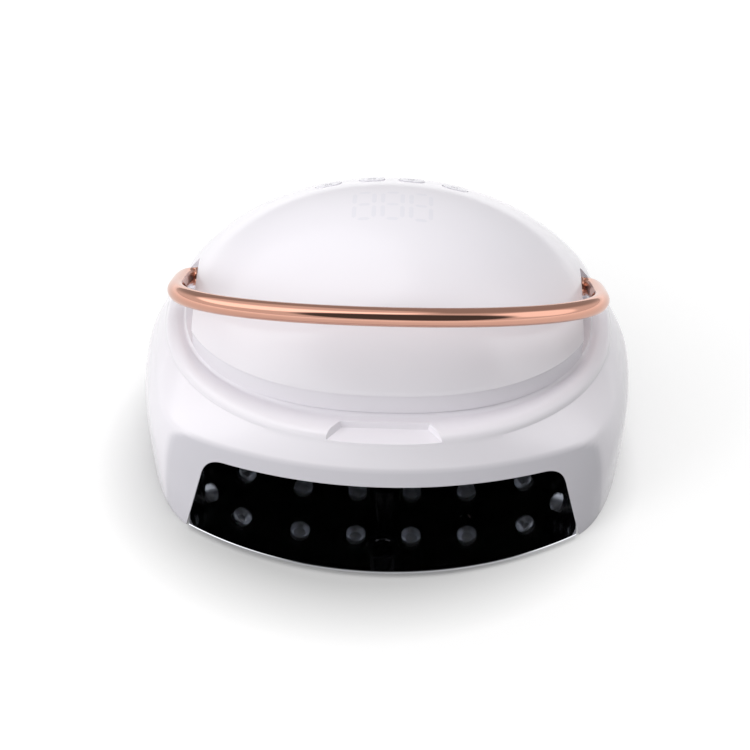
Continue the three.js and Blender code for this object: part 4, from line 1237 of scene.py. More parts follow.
        backing = plate("panel_backing", self.wall, self.panel_y - self.wall, 113 * MM)
        clean(backing)
        combine(backing, self.outer_skin(), Cut.KEEP)
        combine(shell, backing, Cut.ADD)
        recess = plate("panel_recess", 0.0, self.panel_y, 125 * MM)
        clean(recess)
        combine(shell, recess, Cut.REMOVE)
        near, far = self.panel_y - 8 * MM, self.panel_y + 4 * MM
        socket = lathe("socket_hole", plug(self.socket_hole, near, far), 40)
        settle(socket, Matrix.Translation((RearPanel.socket_x, 0, centre)) @ TO_THE_REAR)
        combine(shell, socket, Cut.REMOVE)
        wide, high = self.switch_hole
        low_corner = (RearPanel.switch_x - wide, near, centre - high)
        high_corner = (RearPanel.switch_x + wide, far, centre + high)
        combine(shell, block("switch_hole", low_corner, high_corner), Cut.REMOVE)


# Cover


@dataclass
class TopCover:
    """White cover: dome, crisp rim and riser in one shell, with a pocket at each side and four key wells."""

    columns: int = 288
    wall: float = 2.5 * MM
    foot: float = 68 * MM
    lip: float = 0.8 * MM
    pocket_half: float = 97.8 * MM
    pocket_rear: float = 22 * MM
    pocket_front: float = -60 * MM
    well_gap: float = 0.35 * MM
    edge: float = 0.25 * MM

    def build(self) -> None:
        """Model the cover and dress it."""
        cover = self.outside()
        hollow = self.inside()
        for side in Side:
            combine(hollow, self.pocket(side, self.wall), Cut.REMOVE)
        combine(cover, hollow, Cut.REMOVE)
        for side in Side:
            combine(cover, self.pocket(side, 0.0), Cut.REMOVE)
        for key in KEYS:
            combine(cover, key.prism("key_well", self.well_gap, -9 * MM, 4 * MM), Cut.REMOVE)
        clean(cover)
        smooth(cover, 28)
        hand_over(cover, "housing", "white_shell", WHITE_ABS, "top_cover")

    def heights(self, inset: float, steps: int) -> list[float]:
        """Levels of the dome's rings, evenly spread along its curve down to the rim.

        Args:
            inset: How far the form is drawn in.
            steps: How many rings.

        Returns:
            The heights from the top down.
        """
        tall = DOME.apex - DOME.base - inset
        start = math.asin((DOME.rim - DOME.base) / tall)
        turns = [start + (math.pi / 2 - start) * k / steps for k in range(steps - 1, -1, -1)]
        return [DOME.base + tall * math.sin(turn) for turn in turns]

    def outside(self) -> bpy.types.Object:
        """Loft the outer form, closed underneath.

        Returns:
            The solid.
        """
        turns = directions(self.columns)

        def dome(height: float, out: float = 0.0, at: float | None = None) -> Place:
            """Ring of the dome's radius at a height, moved out or put at another height."""
            z = height if at is None else at
            return plan_ring(turns, DOME.centre_y, lambda c, s: DOME.radius(c, s, height) + out, z)

        def riser(height: float, out: float = 0.0) -> Place:
            """Ring of the riser, moved out."""
            return plan_ring(turns, DOME.centre_y, lambda c, s: DOME.riser(c, s) + out, height)

        first, *heights = self.heights(0.0, 44)
        top = Vector((0, DOME.centre_y, DOME.apex))
        loft = Loft("top_cover_skin", self.columns, top, dome(first))
        for height in heights:
            loft.ring(dome(height))
        edge, ease, low = self.edge, EASE * self.edge, DOME.rim - self.lip
        for out, height in ((0.0, low + edge), (-ease, low + ease), (-edge, low)):
            loft.ring(dome(DOME.rim, out, height))
        for out, height in ((edge, low), (ease, low - ease), (0.0, low - edge)):
            loft.ring(riser(height, out))
        for k in range(1, 7):
            loft.ring(riser(low - edge + (self.foot + edge - low + edge) * k / 6))
        loft.ring(riser(self.foot, -edge))
        return loft.close(Vector((0, DOME.centre_y, self.foot)))

    def inside(self) -> bpy.types.Object:
        """Loft the hollow, running out below.

        Returns:
            The solid to take away.
        """
        columns, foot = 96, self.foot - 3 * MM
        turns = directions(columns)

        def dome(height: float) -> Place:
            """Ring inside the dome."""
            return plan_ring(turns, DOME.centre_y, lambda c, s: DOME.radius(c, s, height, self.wall), height)

        def riser(height: float) -> Place:
            """Ring inside the riser."""
            return plan_ring(turns, DOME.centre_y, lambda c, s: DOME.riser(c, s, self.wall), height)

        first, *heights = self.heights(self.wall, 14)
        top = Vector((0, DOME.centre_y, DOME.apex - self.wall))
        loft = Loft("cover_hollow", columns, top, dome(first))
        for height in heights:
            loft.ring(dome(height))
        loft.ring(riser(DOME.rim - self.lip))
        loft.ring(riser(foot))
        return loft.close(Vector((0, DOME.centre_y, foot)))

    def pocket(self, side: Side, grow: float) -> bpy.types.Object:
        """Tool for the pocket that a handle end turns in.

        Args:
            side: Left or right.
            grow: How much larger, for the wall behind it.

        Returns:
            The solid.
        """
        near, far = side.value * (self.pocket_half - grow), side.value * 130 * MM
        low = (min(near, far), self.pocket_front, 60 * MM)
        high = (max(near, far), self.pocket_rear + grow, 140 * MM)
        return block("pocket", low, high)


# Keys and display


@dataclass(frozen=True)
class Key:
    """One pill-shaped key: its number, its place on the dome and the mark on it."""

    number: int
    x: float
    y: float
    mark: str
    length: float = 13 * MM
    width: float = 8 * MM
    tilt: float = 25.5
    proud: float = 0.35 * MM
    foot: float = -4.1 * MM
    edge: float = 0.3 * MM
    mark_size: float = 4.2 * MM
    ink: float = 0.03 * MM
    ink_proud: float = 0.012 * MM

    def frame(self) -> Matrix:
        """Matrix from the key's own plane to its place on the dome."""
        turn = Matrix.Rotation(-math.radians(self.tilt), 4, "X")
        return Matrix.Translation((self.x, self.y, DOME.top(self.x, self.y))) @ turn

    def prism(self, name: str, grow: float, low: float, high: float) -> bpy.types.Object:
        """Pill-shaped prism over the key's place.

        Args:
            name: The new object's name.
            grow: How much larger than the key.
            low: Lower end along the key's travel.
            high: Upper end.

        Returns:
            The solid.
        """
        outline = pill_outline(self.length + 2 * grow, self.width + 2 * grow)
        return settle(prism(name, outline, low, high), self.frame())

    def build(self) -> None:
        """Model the cap with its rim and stem, and its mark."""
        cap = self.prism(f"key_{self.number}_cap", 0.0, self.foot, 3 * MM)
        combine(cap, self.dome_block(), Cut.KEEP)
        round_edges(cap, self.edge, 40)
        smooth(cap, 40)
        hand_over(cap, f"key_{self.number}_body", "white_key", KEY_ABS, f"key_{self.number}")
        self.marks()

    def dome_block(self) -> bpy.types.Object:
        """A block under the dome's surface round the key, to shape the cap's face.

        Returns:
            The solid.
        """
        bpy.ops.object.select_all(action="DESELECT")
        bpy.ops.mesh.primitive_grid_add(x_subdivisions=24, y_subdivisions=18, size=1)
        grid = bpy.context.active_object
        grid.name = "dome_patch"
        size = Matrix.Diagonal((20 * MM, 16 * MM, 1, 1))
        settle(grid, Matrix.Translation((self.x, self.y, 0)) @ size)
        with edit_mode(grid):
            bpy.ops.mesh.extrude_region_move()
            patch = bmesh.from_edit_mesh(grid.data)
            for vertex in patch.verts:
                if vertex.select:
                    vertex.co.z = DOME.top(vertex.co.x, vertex.co.y, self.proud)
                else:
                    vertex.co.z = DOME.top(vertex.co.x, vertex.co.y) - 12 * MM
            bmesh.update_edit_mesh(grid.data)
            bpy.ops.mesh.select_all(action="SELECT")
            bpy.ops.mesh.normals_make_consistent(inside=False)
        return grid

    def marks(self) -> None:
        """Print the key's number on its face, to be read from behind the lamp."""
        bpy.ops.object.select_all(action="DESELECT")
        bpy.ops.object.text_add()
        text = bpy.context.active_object
        text.data.body = self.mark
        text.data.size = self.mark_size
        text.data.align_x = "CENTER"
        text.data.align_y = "CENTER"
        text.data.resolution_u = 4
        bpy.ops.object.convert(target="MESH")
        mark = bpy.context.active_object
        mark.name = f"key_{self.number}_mark"
        settle(mark, Matrix.Translation((self.x, self.y, 0)) @ Matrix.Rotation(math.pi, 4, "Z"))
        lay_on_dome(mark, self.proud + self.ink_proud, self.ink)
        hand_over(mark, f"key_{self.number}_body", "white_key", PRINT)


KEYS = (
    Key(1, -32.52 * MM, 46.42 * MM, "99"),
    Key(2, -10.2 * MM, 48.63 * MM, "60"),
    Key(3, 10.2 * MM, 48.63 * MM, "30"),
    Key(4, 32.52 * MM, 46.42 * MM, "10"),
)


def lay_on_dome(obj: bpy.types.Object, proud: float, thick: float, cuts: int = 1) -> None:
    """Drop a flat mesh onto the dome and give it a thickness.

    Args:
        obj: The flat mesh, seen from above.
        proud: How far its face stands over the dome.
        thick: Its thickness, going down.
        cuts: How often each edge is cut, so that it follows the dome.
    """
    apply_modifier(obj, "TRIANGULATE")
    with edit_mode(obj):
        bpy.ops.mesh.subdivide(number_cuts=cuts)
    for vertex in obj.data.vertices:
        vertex.co.z = DOME.top(vertex.co.x, vertex.co.y, proud)
    apply_modifier(obj, "SOLIDIFY", thickness=thick, offset=-1.0)


@dataclass
class Display:
    """Unlit seven-segment digits that show faintly through the dome."""

    centre_x: float = 1 * MM
    centre_y: float = 15 * MM
    digit_pitch: float = 14.2 * MM
    height: float = 24 * MM
    width: float = 9.8 * MM
    bar: float = 2.2 * MM
    gap: float = 0.7 * MM
    proud: float = 0.02 * MM
    thickness: float = 0.06 * MM

    def build(self) -> None:
        """Model all segments as one thin inlay on the dome."""
        bars = []
        for digit in (-1, 0, 1):
            for x, y, length, upright in self.segments():
                place = self.centre_x + digit * self.digit_pitch + x
                bars.append(self.segment(place, self.centre_y + y, length, upright))
        digits = joined(bars)
        digits.name = "display_segments"
        lay_on_dome(digits, self.proud, self.thickness, 4)
        hand_over(digits, "housing", "white_shell", HIDDEN_LIGHT)

    def segments(self) -> list[tuple[float, float, float, bool]]:
        """Places and lengths of one digit's seven bars.

        Returns:
            X, Y, length and whether the bar is upright.
        """
        half, tall = self.width / 2, self.height / 2
        level = [(0.0, y, self.width - self.bar, False) for y in (-tall, 0.0, tall)]
        upright = [(x, y, tall - self.gap, True) for x in (-half, half) for y in (-tall / 2, tall / 2)]
        return level + upright

    def segment(self, x: float, y: float, length: float, upright: bool) -> bpy.types.Object:
        """One bar with pointed ends, cut fine enough to follow the dome.

        Args:
            x: Its middle.
            y: Its middle.
            length: From point to point.
            upright: Whether it runs along Y.

        Returns:
            The flat bar.
        """
        half = self.bar / 2
        run = length / 2 - self.gap
        outline = [
            (-run, 0), (-run + half, -half), (0, -half), (run - half, -half),
            (run, 0), (run - half, half), (0, half), (-run + half, half),
        ]
        if upright:
            outline = [(-b, a) for a, b in outline]
        bpy.ops.object.select_all(action="DESELECT")
        bpy.ops.mesh.primitive_circle_add(vertices=len(outline), radius=MM, fill_type="NGON")
        bar = bpy.context.active_object
        for vertex, (a, b) in zip(bar.data.vertices, outline):
            vertex.co = (x + a, y + b, 0)
        return bar


# Handle


@dataclass
class Handle:
    """Rose gold bail: a bent tube with a collar at each end, turning on a pin."""

    half_width: float = 105.003 * MM
    reach: float = 91 * MM
    start: float = 30 * MM
    shape: float = 2.2
    tube: float = 4.65 * MM
    hollow: float = 1.42 * MM
    angle: float = 28.0
    pivot_y: float = 12 * MM
    pivot_z: float = 84 * MM
    wall: float = 97.803 * MM
    gap: float = 0.3 * MM
    collar: float = 1.6 * MM
    edge: float = 0.4 * MM
    end_share: float = 0.2
    elbow_share: float = 0.35
    sides: int = 40
    steps: int = 150
    shank: float = 2.4 * MM
    collar_radius: float = 4.9 * MM
    chamfer: float = 0.35 * MM

    def line(self, share: float) -> Vector:
        """A point on the bail's centreline.

        Args:
            share: From 0 at the left end to 1 at the right.

        Returns:
            The point, level about the pivot.
        """
        side = -1 if share < 0.5 else 1
        along = 2 * share if side < 0 else 2 - 2 * share
        if along < self.end_share:
            u = along / self.end_share
            end = self.wall + self.gap + self.collar
            elbow = self.start * self.elbow_share
            weights = ((1 - u) ** 3, 3 * u * (1 - u) ** 2, 3 * u * u * (1 - u), u**3)
            outs = (end, self.half_width, self.half_width, self.half_width)
            x = sum(out * weight for out, weight in zip(outs, weights))
            y = sum(run * weight for run, weight in zip((0.0, 0.0, elbow, self.start), weights))
            return Vector((side * x, -y, 0))
        turn = (along - self.end_share) / (1 - self.end_share) * math.pi / 2
        radius = oval(math.cos(turn), math.sin(turn), self.half_width, self.reach - self.start, self.shape)
        return Vector((side * radius * math.cos(turn), -self.start - radius * math.sin(turn), 0))

    def to_place(self) -> Matrix:
        """Matrix from level about the pivot to the rest angle."""
        turn = Matrix.Rotation(-math.radians(self.angle), 4, "X")
        return Matrix.Translation((0, self.pivot_y, self.pivot_z)) @ turn

    def build(self) -> None:
        """Model the bail and the two pins."""
        points = [self.line(i / self.steps) for i in range(self.steps + 1)]
        up = Vector((0, 0, 1))
        rings = []
        for i, point in enumerate(points):
            before, after = points[max(i - 1, 0)], points[min(i + 1, self.steps)]
            along = (after - before).normalized()
            if i in (0, self.steps):
                along = Vector((1, 0, 0))
            rings.append((point, along.cross(up).normalized(), along))

        def around(ring: tuple[Vector, Vector, Vector], radius: float, shift: float = 0.0) -> Place:
            """Ring about one point of the centreline, shifted along it."""
            point, out, along = ring

            def at(i: int) -> Vector:
                """Place of one point of the ring."""
                turn = 2 * math.pi * i / self.sides
                return point + along * shift + radius * (out * math.cos(turn) + up * math.sin(turn))

            return at

        first, last = rings[0], rings[-1]
        rounding = ((self.edge, 0.0), (EASE * self.edge, EASE * self.edge), (0.0, self.edge))
        loft = Loft("handle_bail_tube", self.sides, first[0], around(first, self.hollow))
        for less, shift in rounding:
            loft.ring(around(first, self.tube - less, shift))
        for ring in rings[2:-2]:
            loft.ring(around(ring, self.tube))
        for less, shift in reversed(rounding):
            loft.ring(around(last, self.tube - less, -shift))
        loft.ring(around(last, self.hollow))
        bail = settle(loft.close(last[0]), self.to_place())
        smooth(bail, 35)
        hand_over(bail, "handle", "rose_gold", ROSE_GOLD, "handle_bail")
        for side in Side:
            self.pin(side)

    def pin(self, side: Side) -> None:
        """Pin with a collar between the tube's end and the pocket wall.

        Args:
            side: Left or right.
        """
        face = self.wall + self.gap
        back = face - 10.5 * MM
        out = face + self.collar - self.gap
        shank, collar, chamfer = self.shank, self.collar_radius, self.chamfer
        profile = [
            (0, back), (shank - chamfer, back), (shank, back + chamfer), (shank, face),
            (collar - chamfer, face), (collar, face + chamfer), (collar, out - chamfer),
            (collar - chamfer, out), (2 * MM, out), (2 * MM, out + 0.7 * MM), (0, out + 0.7 * MM),
        ]
        name = side.name.lower()
        pin = lathe(f"pivot_pin_{name}_turned", profile, 40)
        turn = Matrix.Rotation(side.value * math.pi / 2, 4, "Y")
        settle(pin, Matrix.Translation((0, self.pivot_y, self.pivot_z)) @ turn)
        smooth(pin, 30)
        hand_over(pin, "handle", "rose_gold", ROSE_GOLD, f"pivot_pin_{name}")


# Liner and light rows


@dataclass
class Liner:
    """Black liner: a smooth arch over the hand with a rounded back, screw posts and lens holes."""

    half_width: float = 98 * MM
    ceiling: float = 60 * MM
    rear: float = 62 * MM
    rear_round: float = 38 * MM
    shape: float = 3.0
    wall: float = 1.8 * MM
    gap: float = 0.3 * MM
    flange_bottom: float = 4 * MM
    flange: float = 2 * MM
    post_radius: float = 8.6 * MM
    post_bottom: float = 41 * MM
    shank: float = 1.8 * MM
    well_radius: float = 5 * MM
    well_top: float = 55 * MM
    posts: tuple[Point, ...] = ((0, -62 * MM), (0, -15 * MM), (-70 * MM, 11.5 * MM), (70 * MM, 11.5 * MM))
    sensor: Point = (44 * MM, -22 * MM)
    sensor_radius: float = 3.3 * MM
    lens_angles: tuple[float, ...] = (18, 33, 53, 76.5)
    lens_rows: tuple[float, ...] = (-37.95 * MM, -4.945 * MM, 27.945 * MM)
    lens_radius: float = 5.1 * MM
    lens_length: float = 6.5 * MM
    lens_dome: float = 3.1 * MM
    lens_play: float = 0.35 * MM
    lens_foot: float = 0.42 * MM
    cup_lift: float = 0.4 * MM
    strip_half: float = 4.5 * MM
    strip_thickness: float = 1.1 * MM
    strip_span: Point = (167.5, 12.5)

    def arch(self, degrees: float, grow: float) -> Vector:
        """A point of the arch, seen from the front.

        Args:
            degrees: Direction over level.
            grow: How far outside the inner surface.

        Returns:
            X and Z.
        """
        c, s = math.cos(math.radians(degrees)), math.sin(math.radians(degrees))
        radius = oval(c, s, self.half_width + grow, self.ceiling + grow, self.shape)
        return Vector((radius * c, radius * s))

    def tunnel(self, name: str, grow: float, foot: float, front: float) -> bpy.types.Object:
        """The space over the hand, with a rounded back.

        Args:
            name: The new object's name.
            grow: How far outside the inner surface.
            foot: Its lowest level.
            front: Its front end.

        Returns:
            The solid.
        """
        curve = [tuple(self.arch(2.5 * i, grow)) for i in range(73)]
        arch = [(self.half_width + grow, foot)]
        arch += [point for point in curve if point[1] > foot + MM]
        arch += [(-self.half_width - grow, foot)]
        back = self.rear + grow
        slab = prism(name, arch, -back, -front)
        upright = Matrix(((1, 0, 0, 0), (0, 0, -1, 0), (0, 1, 0, 0), (0, 0, 0, 1)))
        clean(settle(slab, upright))
        x, turn = self.half_width + grow, self.rear_round + grow
        plan = [(-x, front - MM), (x, front - MM)]
        for side, start in ((1, 0), (-1, 90)):
            for step in range(17):
                angle = math.radians(start + 90 * step / 16)
                across = side * (x - turn) + turn * math.cos(angle)
                plan.append((across, back - turn + turn * math.sin(angle)))
        combine(slab, prism("plan", plan, foot - MM, self.ceiling + grow + MM), Cut.KEEP)
        return slab

    def spots(self, row: float) -> list[Matrix]:
        """Matrices that put a lens, drawn along +Z, on each place of a row.

        Args:
            row: The row's Y.

        Returns:
            One matrix for each lens.
        """
        seat = self.wall + self.gap
        result = []
        for angle in [a for pair in ((v, 180 - v) for v in self.lens_angles) for a in pair]:
            point = self.arch(angle, seat)
            run = (self.arch(angle + 1, seat) - self.arch(angle - 1, seat)).normalized()
            inward = Vector((-run.y, 0, run.x))
            turn = Vector((0, 0, 1)).rotation_difference(inward).to_matrix().to_4x4()
            result.append(Matrix.Translation((point.x, row, point.y)) @ turn)
        return result

    def build(self) -> None:
        """Model the liner and dress it."""
        room = Housing().room(self.gap)
        liner = self.tunnel("inner_liner_arch", self.wall, self.flange_bottom, -110 * MM)
        x, y, top = 130 * MM, 120 * MM, self.flange_bottom + self.flange
        combine(liner, block("flange", (-x, -y, self.flange_bottom), (x, y, top)), Cut.ADD)
        combine(liner, room, Cut.KEEP)
        combine(liner, self.tunnel("hollow", 0.0, -5 * MM, -115 * MM), Cut.REMOVE)
        seat, roof, shank = self.post_radius + self.gap, self.ceiling - self.gap, self.shank
        low, high = 36 * MM, 66 * MM
        profile = [(0, low), (seat, low), (seat, roof), (shank, roof), (shank, high), (0, high)]
        seats = [
            settle(lathe("seat", profile, 56), Matrix.Translation((*post, 0))) for post in self.posts
        ]
        combine(liner, joined(seats), Cut.REMOVE)
        hole = plug(self.lens_radius + self.lens_play, -3 * MM, 5 * MM)
        holes = [
            settle(lathe("hole", hole, 32), matrix) for row in self.lens_rows for matrix in self.spots(row)
        ]
        combine(liner, joined(holes), Cut.REMOVE)
        sensor = lathe("sensor_hole", plug(self.sensor_radius, 57 * MM, 63 * MM), 32)
        combine(liner, settle(sensor, Matrix.Translation((*self.sensor, 0))), Cut.REMOVE)
        clean(liner, even=False)
        smooth(liner, 30)
        hand_over(liner, "housing", "black_liner", BLACK_ABS, "inner_liner")
        self.cups()
        for number, row in enumerate(self.lens_rows, 1):
            self.row(number, row)

    def cups(self) -> None:
        """Model one screw cup, moulded with a soft rim and a blind well, and copy it to its places."""
        edge, chamfer = 1.0 * MM, 0.5 * MM
        radius, well, shank = self.post_radius, self.well_radius, self.shank
        low, top = self.post_bottom, self.ceiling - self.gap
        profile = [
            (shank, self.well_top), (well, self.well_top), (well, low + chamfer), (well + chamfer, low),
            (radius - edge, low), (radius - EASE * edge, low + EASE * edge), (radius, low + edge),
            (radius, top), (shank, top),
        ]
        model = ring_lathe("screw_cup", profile, 56)
        smooth(model, 35)
        for number, (x, y) in enumerate(self.posts, 1):
            cup = model.copy()
            cup.data = model.data.copy()
            cup.name = f"screw_cup_{number}_moulded"
            bpy.context.scene.collection.objects.link(cup)
            settle(cup, Matrix.Translation((x, y, 0)))
            hand_over(cup, "housing", "black_liner", BLACK_ABS, f"screw_cup_{number}")
        bpy.data.objects.remove(model)

    def row(self, number: int, y: float) -> None:
        """Model one row of lenses on its strip, with a cup and a die under each lens.

        Args:
            number: The row's number.
            y: The row's place.
        """
        end = self.wall + self.gap + self.lens_length
        radius, foot, rise = self.lens_radius, self.lens_foot, self.lens_dome
        turns = [math.radians(angle) for angle in range(0, 90, 10)]
        dome = [(radius * math.cos(turn), end - rise + rise * math.sin(turn)) for turn in turns]
        lens = [(0, foot), (radius, foot), *dome, (0, end)]
        cup = [
            (0, 0), (2.9 * MM, 0), (3.9 * MM, 2.6 * MM),
            (3.6 * MM, 2.7 * MM), (2.5 * MM, 0.5 * MM), (0, 0.5 * MM),
        ]
        die = [(0, 0.45 * MM), (1.2 * MM, 0.45 * MM), (1.2 * MM, 0.8 * MM), (0, 0.95 * MM)]
        lift = Matrix.Translation((0, 0, foot + self.cup_lift))
        lenses, cups, dies = [], [], []
        for matrix in self.spots(y):
            lenses.append(settle(lathe("lens", lens, 32), matrix))
            cups.append(settle(lathe("cup", cup, 24), matrix @ lift))
            dies.append(settle(lathe("die", die, 4), matrix @ lift))
        for name, parts, finish in (("lenses", lenses, LENS), ("cups", cups, CUP), ("dies", dies, DIE)):
            piece = joined(parts)
            piece.name = f"led_row_{number}_{name}"
            smooth(piece, 40)
            nodes = (f"led_strip_{number}",) if name == "lenses" else ()
            hand_over(piece, "housing", "led_lens", finish, *nodes)
        self.strip(number, y)

    def strip(self, number: int, y: float) -> None:
        """Bend a board over the arch for one row.

        Args:
            number: The row's number.
            y: The row's place.
        """
        count = 63
        start, end = self.strip_span
        angles = [start - (start - end) * i / (count - 1) for i in range(count)]
        line = [self.arch(angle, self.wall + self.gap) for angle in angles]
        bpy.ops.object.select_all(action="DESELECT")
        bpy.ops.mesh.primitive_grid_add(x_subdivisions=count - 1, y_subdivisions=1, size=1)
        strip = bpy.context.active_object
        strip.name = f"led_row_{number}_strip"
        order = sorted(strip.data.vertices, key=lambda v: (v.co.y, v.co.x))
        for i, vertex in enumerate(order):
            row, column = divmod(i, count)
            aside = -self.strip_half if row == 0 else self.strip_half
            vertex.co = (line[column].x, y + aside, line[column].y)
        apply_modifier(strip, "SOLIDIFY", thickness=self.strip_thickness, offset=1.0)
        clean(strip)
        smooth(strip, 30)
        hand_over(strip, "housing", "circuit_board", BOARD)


# Base plate, rear panel and small pieces


@dataclass
class Plate:
    """Mirror base plate: fills the housing's foot and bows out in front of the opening."""

    bottom: float = 2.2 * MM
    thickness: float = 1.5 * MM
    gap: float = 0.6 * MM
    bow: float = 29 * MM
    front: float = 115 * MM
    edge: float = 0.25 * MM
    feet: tuple[Point, ...] = (
        (82 * MM, -62 * MM), (-82 * MM, -62 * MM), (78 * MM, 72 * MM), (-78 * MM, 72 * MM)
    )

    def outline(self) -> list[Point]:
        """The plate's outline from above.

        Returns:
            The points, in order.
        """
        housing = Housing()
        top = self.bottom + self.thickness
        half = housing.opening_half - housing.opening_slope() * top - self.gap
        radius = (half**2 + self.bow**2) / (2 * self.bow)
        spread = math.asin(half / radius)
        centre = radius - self.front
        turns = [spread * k / 40 for k in range(-40, 41)]
        front = [(radius * math.sin(turn), centre - radius * math.cos(turn)) for turn in turns]
        rest = []
        for k in range(241):
            turn = math.radians(-48 + 276 * k / 240)
            c, s = math.cos(turn), math.sin(turn)
            reach = BODY.skirt(c, s, self.bottom) - housing.wall - self.gap
            place = (reach * c, BODY.centre_y + reach * s)
            if abs(place[0]) > half + 0.5 * MM or place[1] > 0:
                rest.append(place)
        return front + [(half, rest[0][1])] + rest + [(-half, rest[-1][1])]

    def build(self) -> None:
        """Model the plate and its feet."""
        plate = prism("base_plate_sheet", self.outline(), self.bottom, self.bottom + self.thickness)
        clean(plate)
        round_edges(plate, self.edge, 50, 1)
        smooth(plate, 12)
        hand_over(plate, "plate", "mirror_plate", MIRROR, "base_plate")
        foot = [
            (0, 0.35 * MM), (4.6 * MM, 0.35 * MM), (5.0 * MM, 0.0), (6.4 * MM, 0.0),
            (6.9 * MM, 0.4 * MM), (7 * MM, 1.0 * MM), (7 * MM, 1.9 * MM), (0, 1.9 * MM),
        ]
        for number, place in enumerate(self.feet, 1):
            piece = lathe(f"rubber_foot_{number}_moulded", foot, 40)
            settle(piece, Matrix.Translation((*place, 0)))
            smooth(piece, 35)
            hand_over(piece, "plate", "black_rubber", RUBBER, f"rubber_foot_{number}")


@dataclass
class RearPanel:
    """Charging socket and battery switch in the rear panel."""

    face: float = 107.3 * MM
    height: float = 32 * MM
    socket_x: float = -15 * MM
    switch_x: float = 14 * MM
    rocker_tilt: float = 9.0
    rocker_y: float = 108.6 * MM

    def build(self) -> None:
        """Model the socket, the bezel and the rocker."""
        self.socket()
        self.bezel()
        self.rocker()

    def socket(self) -> None:
        """Turned socket with a flange, a bore and a centre pin."""
        profile = [
            (0, -12 * MM), (4.6 * MM, -12 * MM), (4.6 * MM, 0), (6.6 * MM, 0), (6.6 * MM, 1.0 * MM),
            (6.2 * MM, 1.4 * MM), (3.3 * MM, 1.4 * MM), (2.9 * MM, 1.0 * MM), (2.9 * MM, -9.6 * MM),
            (0.9 * MM, -9.6 * MM), (0.9 * MM, -0.4 * MM), (0.5 * MM, 0), (0, 0),
        ]
        piece = lathe("dc_socket_turned", profile, 48)
        settle(piece, Matrix.Translation((self.socket_x, self.face, self.height)) @ TO_THE_REAR)
        smooth(piece, 30)
        hand_over(piece, "housing", "black_plastic", GRAINED_ABS, "dc_socket")

    def bezel(self) -> None:
        """Frame of the switch, a box with a well."""

        def part(name: str, x: float, z: float, near: float, far: float) -> bpy.types.Object:
            """Box about the switch's middle, from half sizes and two distances from the face."""
            low = (self.switch_x - x, self.face + near, self.height - z)
            return block(name, low, (self.switch_x + x, self.face + far, self.height + z))

        lip = 1.2 * MM
        frame = part("switch_bezel_frame", 10.5 * MM, 7.2 * MM, 0.0, lip)
        combine(frame, part("body", 9.3 * MM, 6 * MM, -11 * MM, lip / 2), Cut.ADD)
        well = part("well", 7.7 * MM, 4.4 * MM, -9.4 * MM, 3 * MM)
        combine(frame, well, Cut.REMOVE)
        clean(frame)
        round_edges(frame, 0.4 * MM, 50)
        smooth(frame, 40)
        hand_over(frame, "housing", "black_plastic", GRAINED_ABS, "switch_bezel")

    def rocker(self) -> None:
        """Rocker with two wings that meet in a valley, pressed in on one side."""
        half, deep = 7 * MM, 4.05 * MM
        tilt = math.radians(self.rocker_tilt)
        rise = half * math.tan(tilt)
        outline = [(-half, -2 * MM), (0, -4 * MM), (half, -2 * MM), (half, rise), (0, 0), (-half, rise)]
        piece = prism("power_rocker_cap", outline, -deep, deep)
        turn = Matrix.Rotation(-tilt, 4, "Z")
        settle(piece, Matrix.Translation((self.switch_x, self.rocker_y, self.height)) @ turn)
        clean(piece)
        round_edges(piece, 0.35 * MM, 50)
        smooth(piece, 40)
        hand_over(piece, "rocker", "black_plastic", GRAINED_ABS, "power_rocker")


CARRIED = (
    ("hand_sensor", BLACK_ABS), ("key_board", BOARD), ("control_board", BOARD), ("charge_board", BOARD),
    ("display_module", GRAINED_ABS), ("battery_tray", NYLON), ("battery_cell", WRAP), ("cell_strap", ZINC),
    ("friction_washer", RUBBER), ("pivot_nut", ZINC), ("cover_screw", ZINC), ("liner_screw", ZINC),
    ("magnet", ZINC),
)


def dress_nodes(nodes: dict[str, bpy.types.Object]) -> None:
    """Give each plain solid that stays its own finish.

    Args:
        nodes: The solids by name.
    """
    for name, obj in nodes.items():
        if obj.hide_render:
            continue
        for start, finish in CARRIED:
            if name.startswith(start):
                WARDROBE.dress(obj, finish)
                LOG.info("%s: dressed in %s", name, finish.name)


# Stage


@dataclass(frozen=True)
class SkyPatch:
    """A lighter or darker round patch of the sky, which only gloss sees."""

    towards: tuple[float, float, float]
    edge: float
    core: float
    level: float


# A window overhead at the left, a weaker one at the right, and dark rooms in front and behind.
SKY = (
    SkyPatch((-0.5, 0.05, 0.86), 0.743, 0.829, 2.2),
    SkyPatch((0.8, -0.25, 0.55), 0.866, 0.927, 1.7),
    SkyPatch((0.12, -0.8, 0.6), 0.788, 0.883, 0.1),
    SkyPatch((0.0, 0.75, 0.66), 0.5, 0.766, 0.45),
)


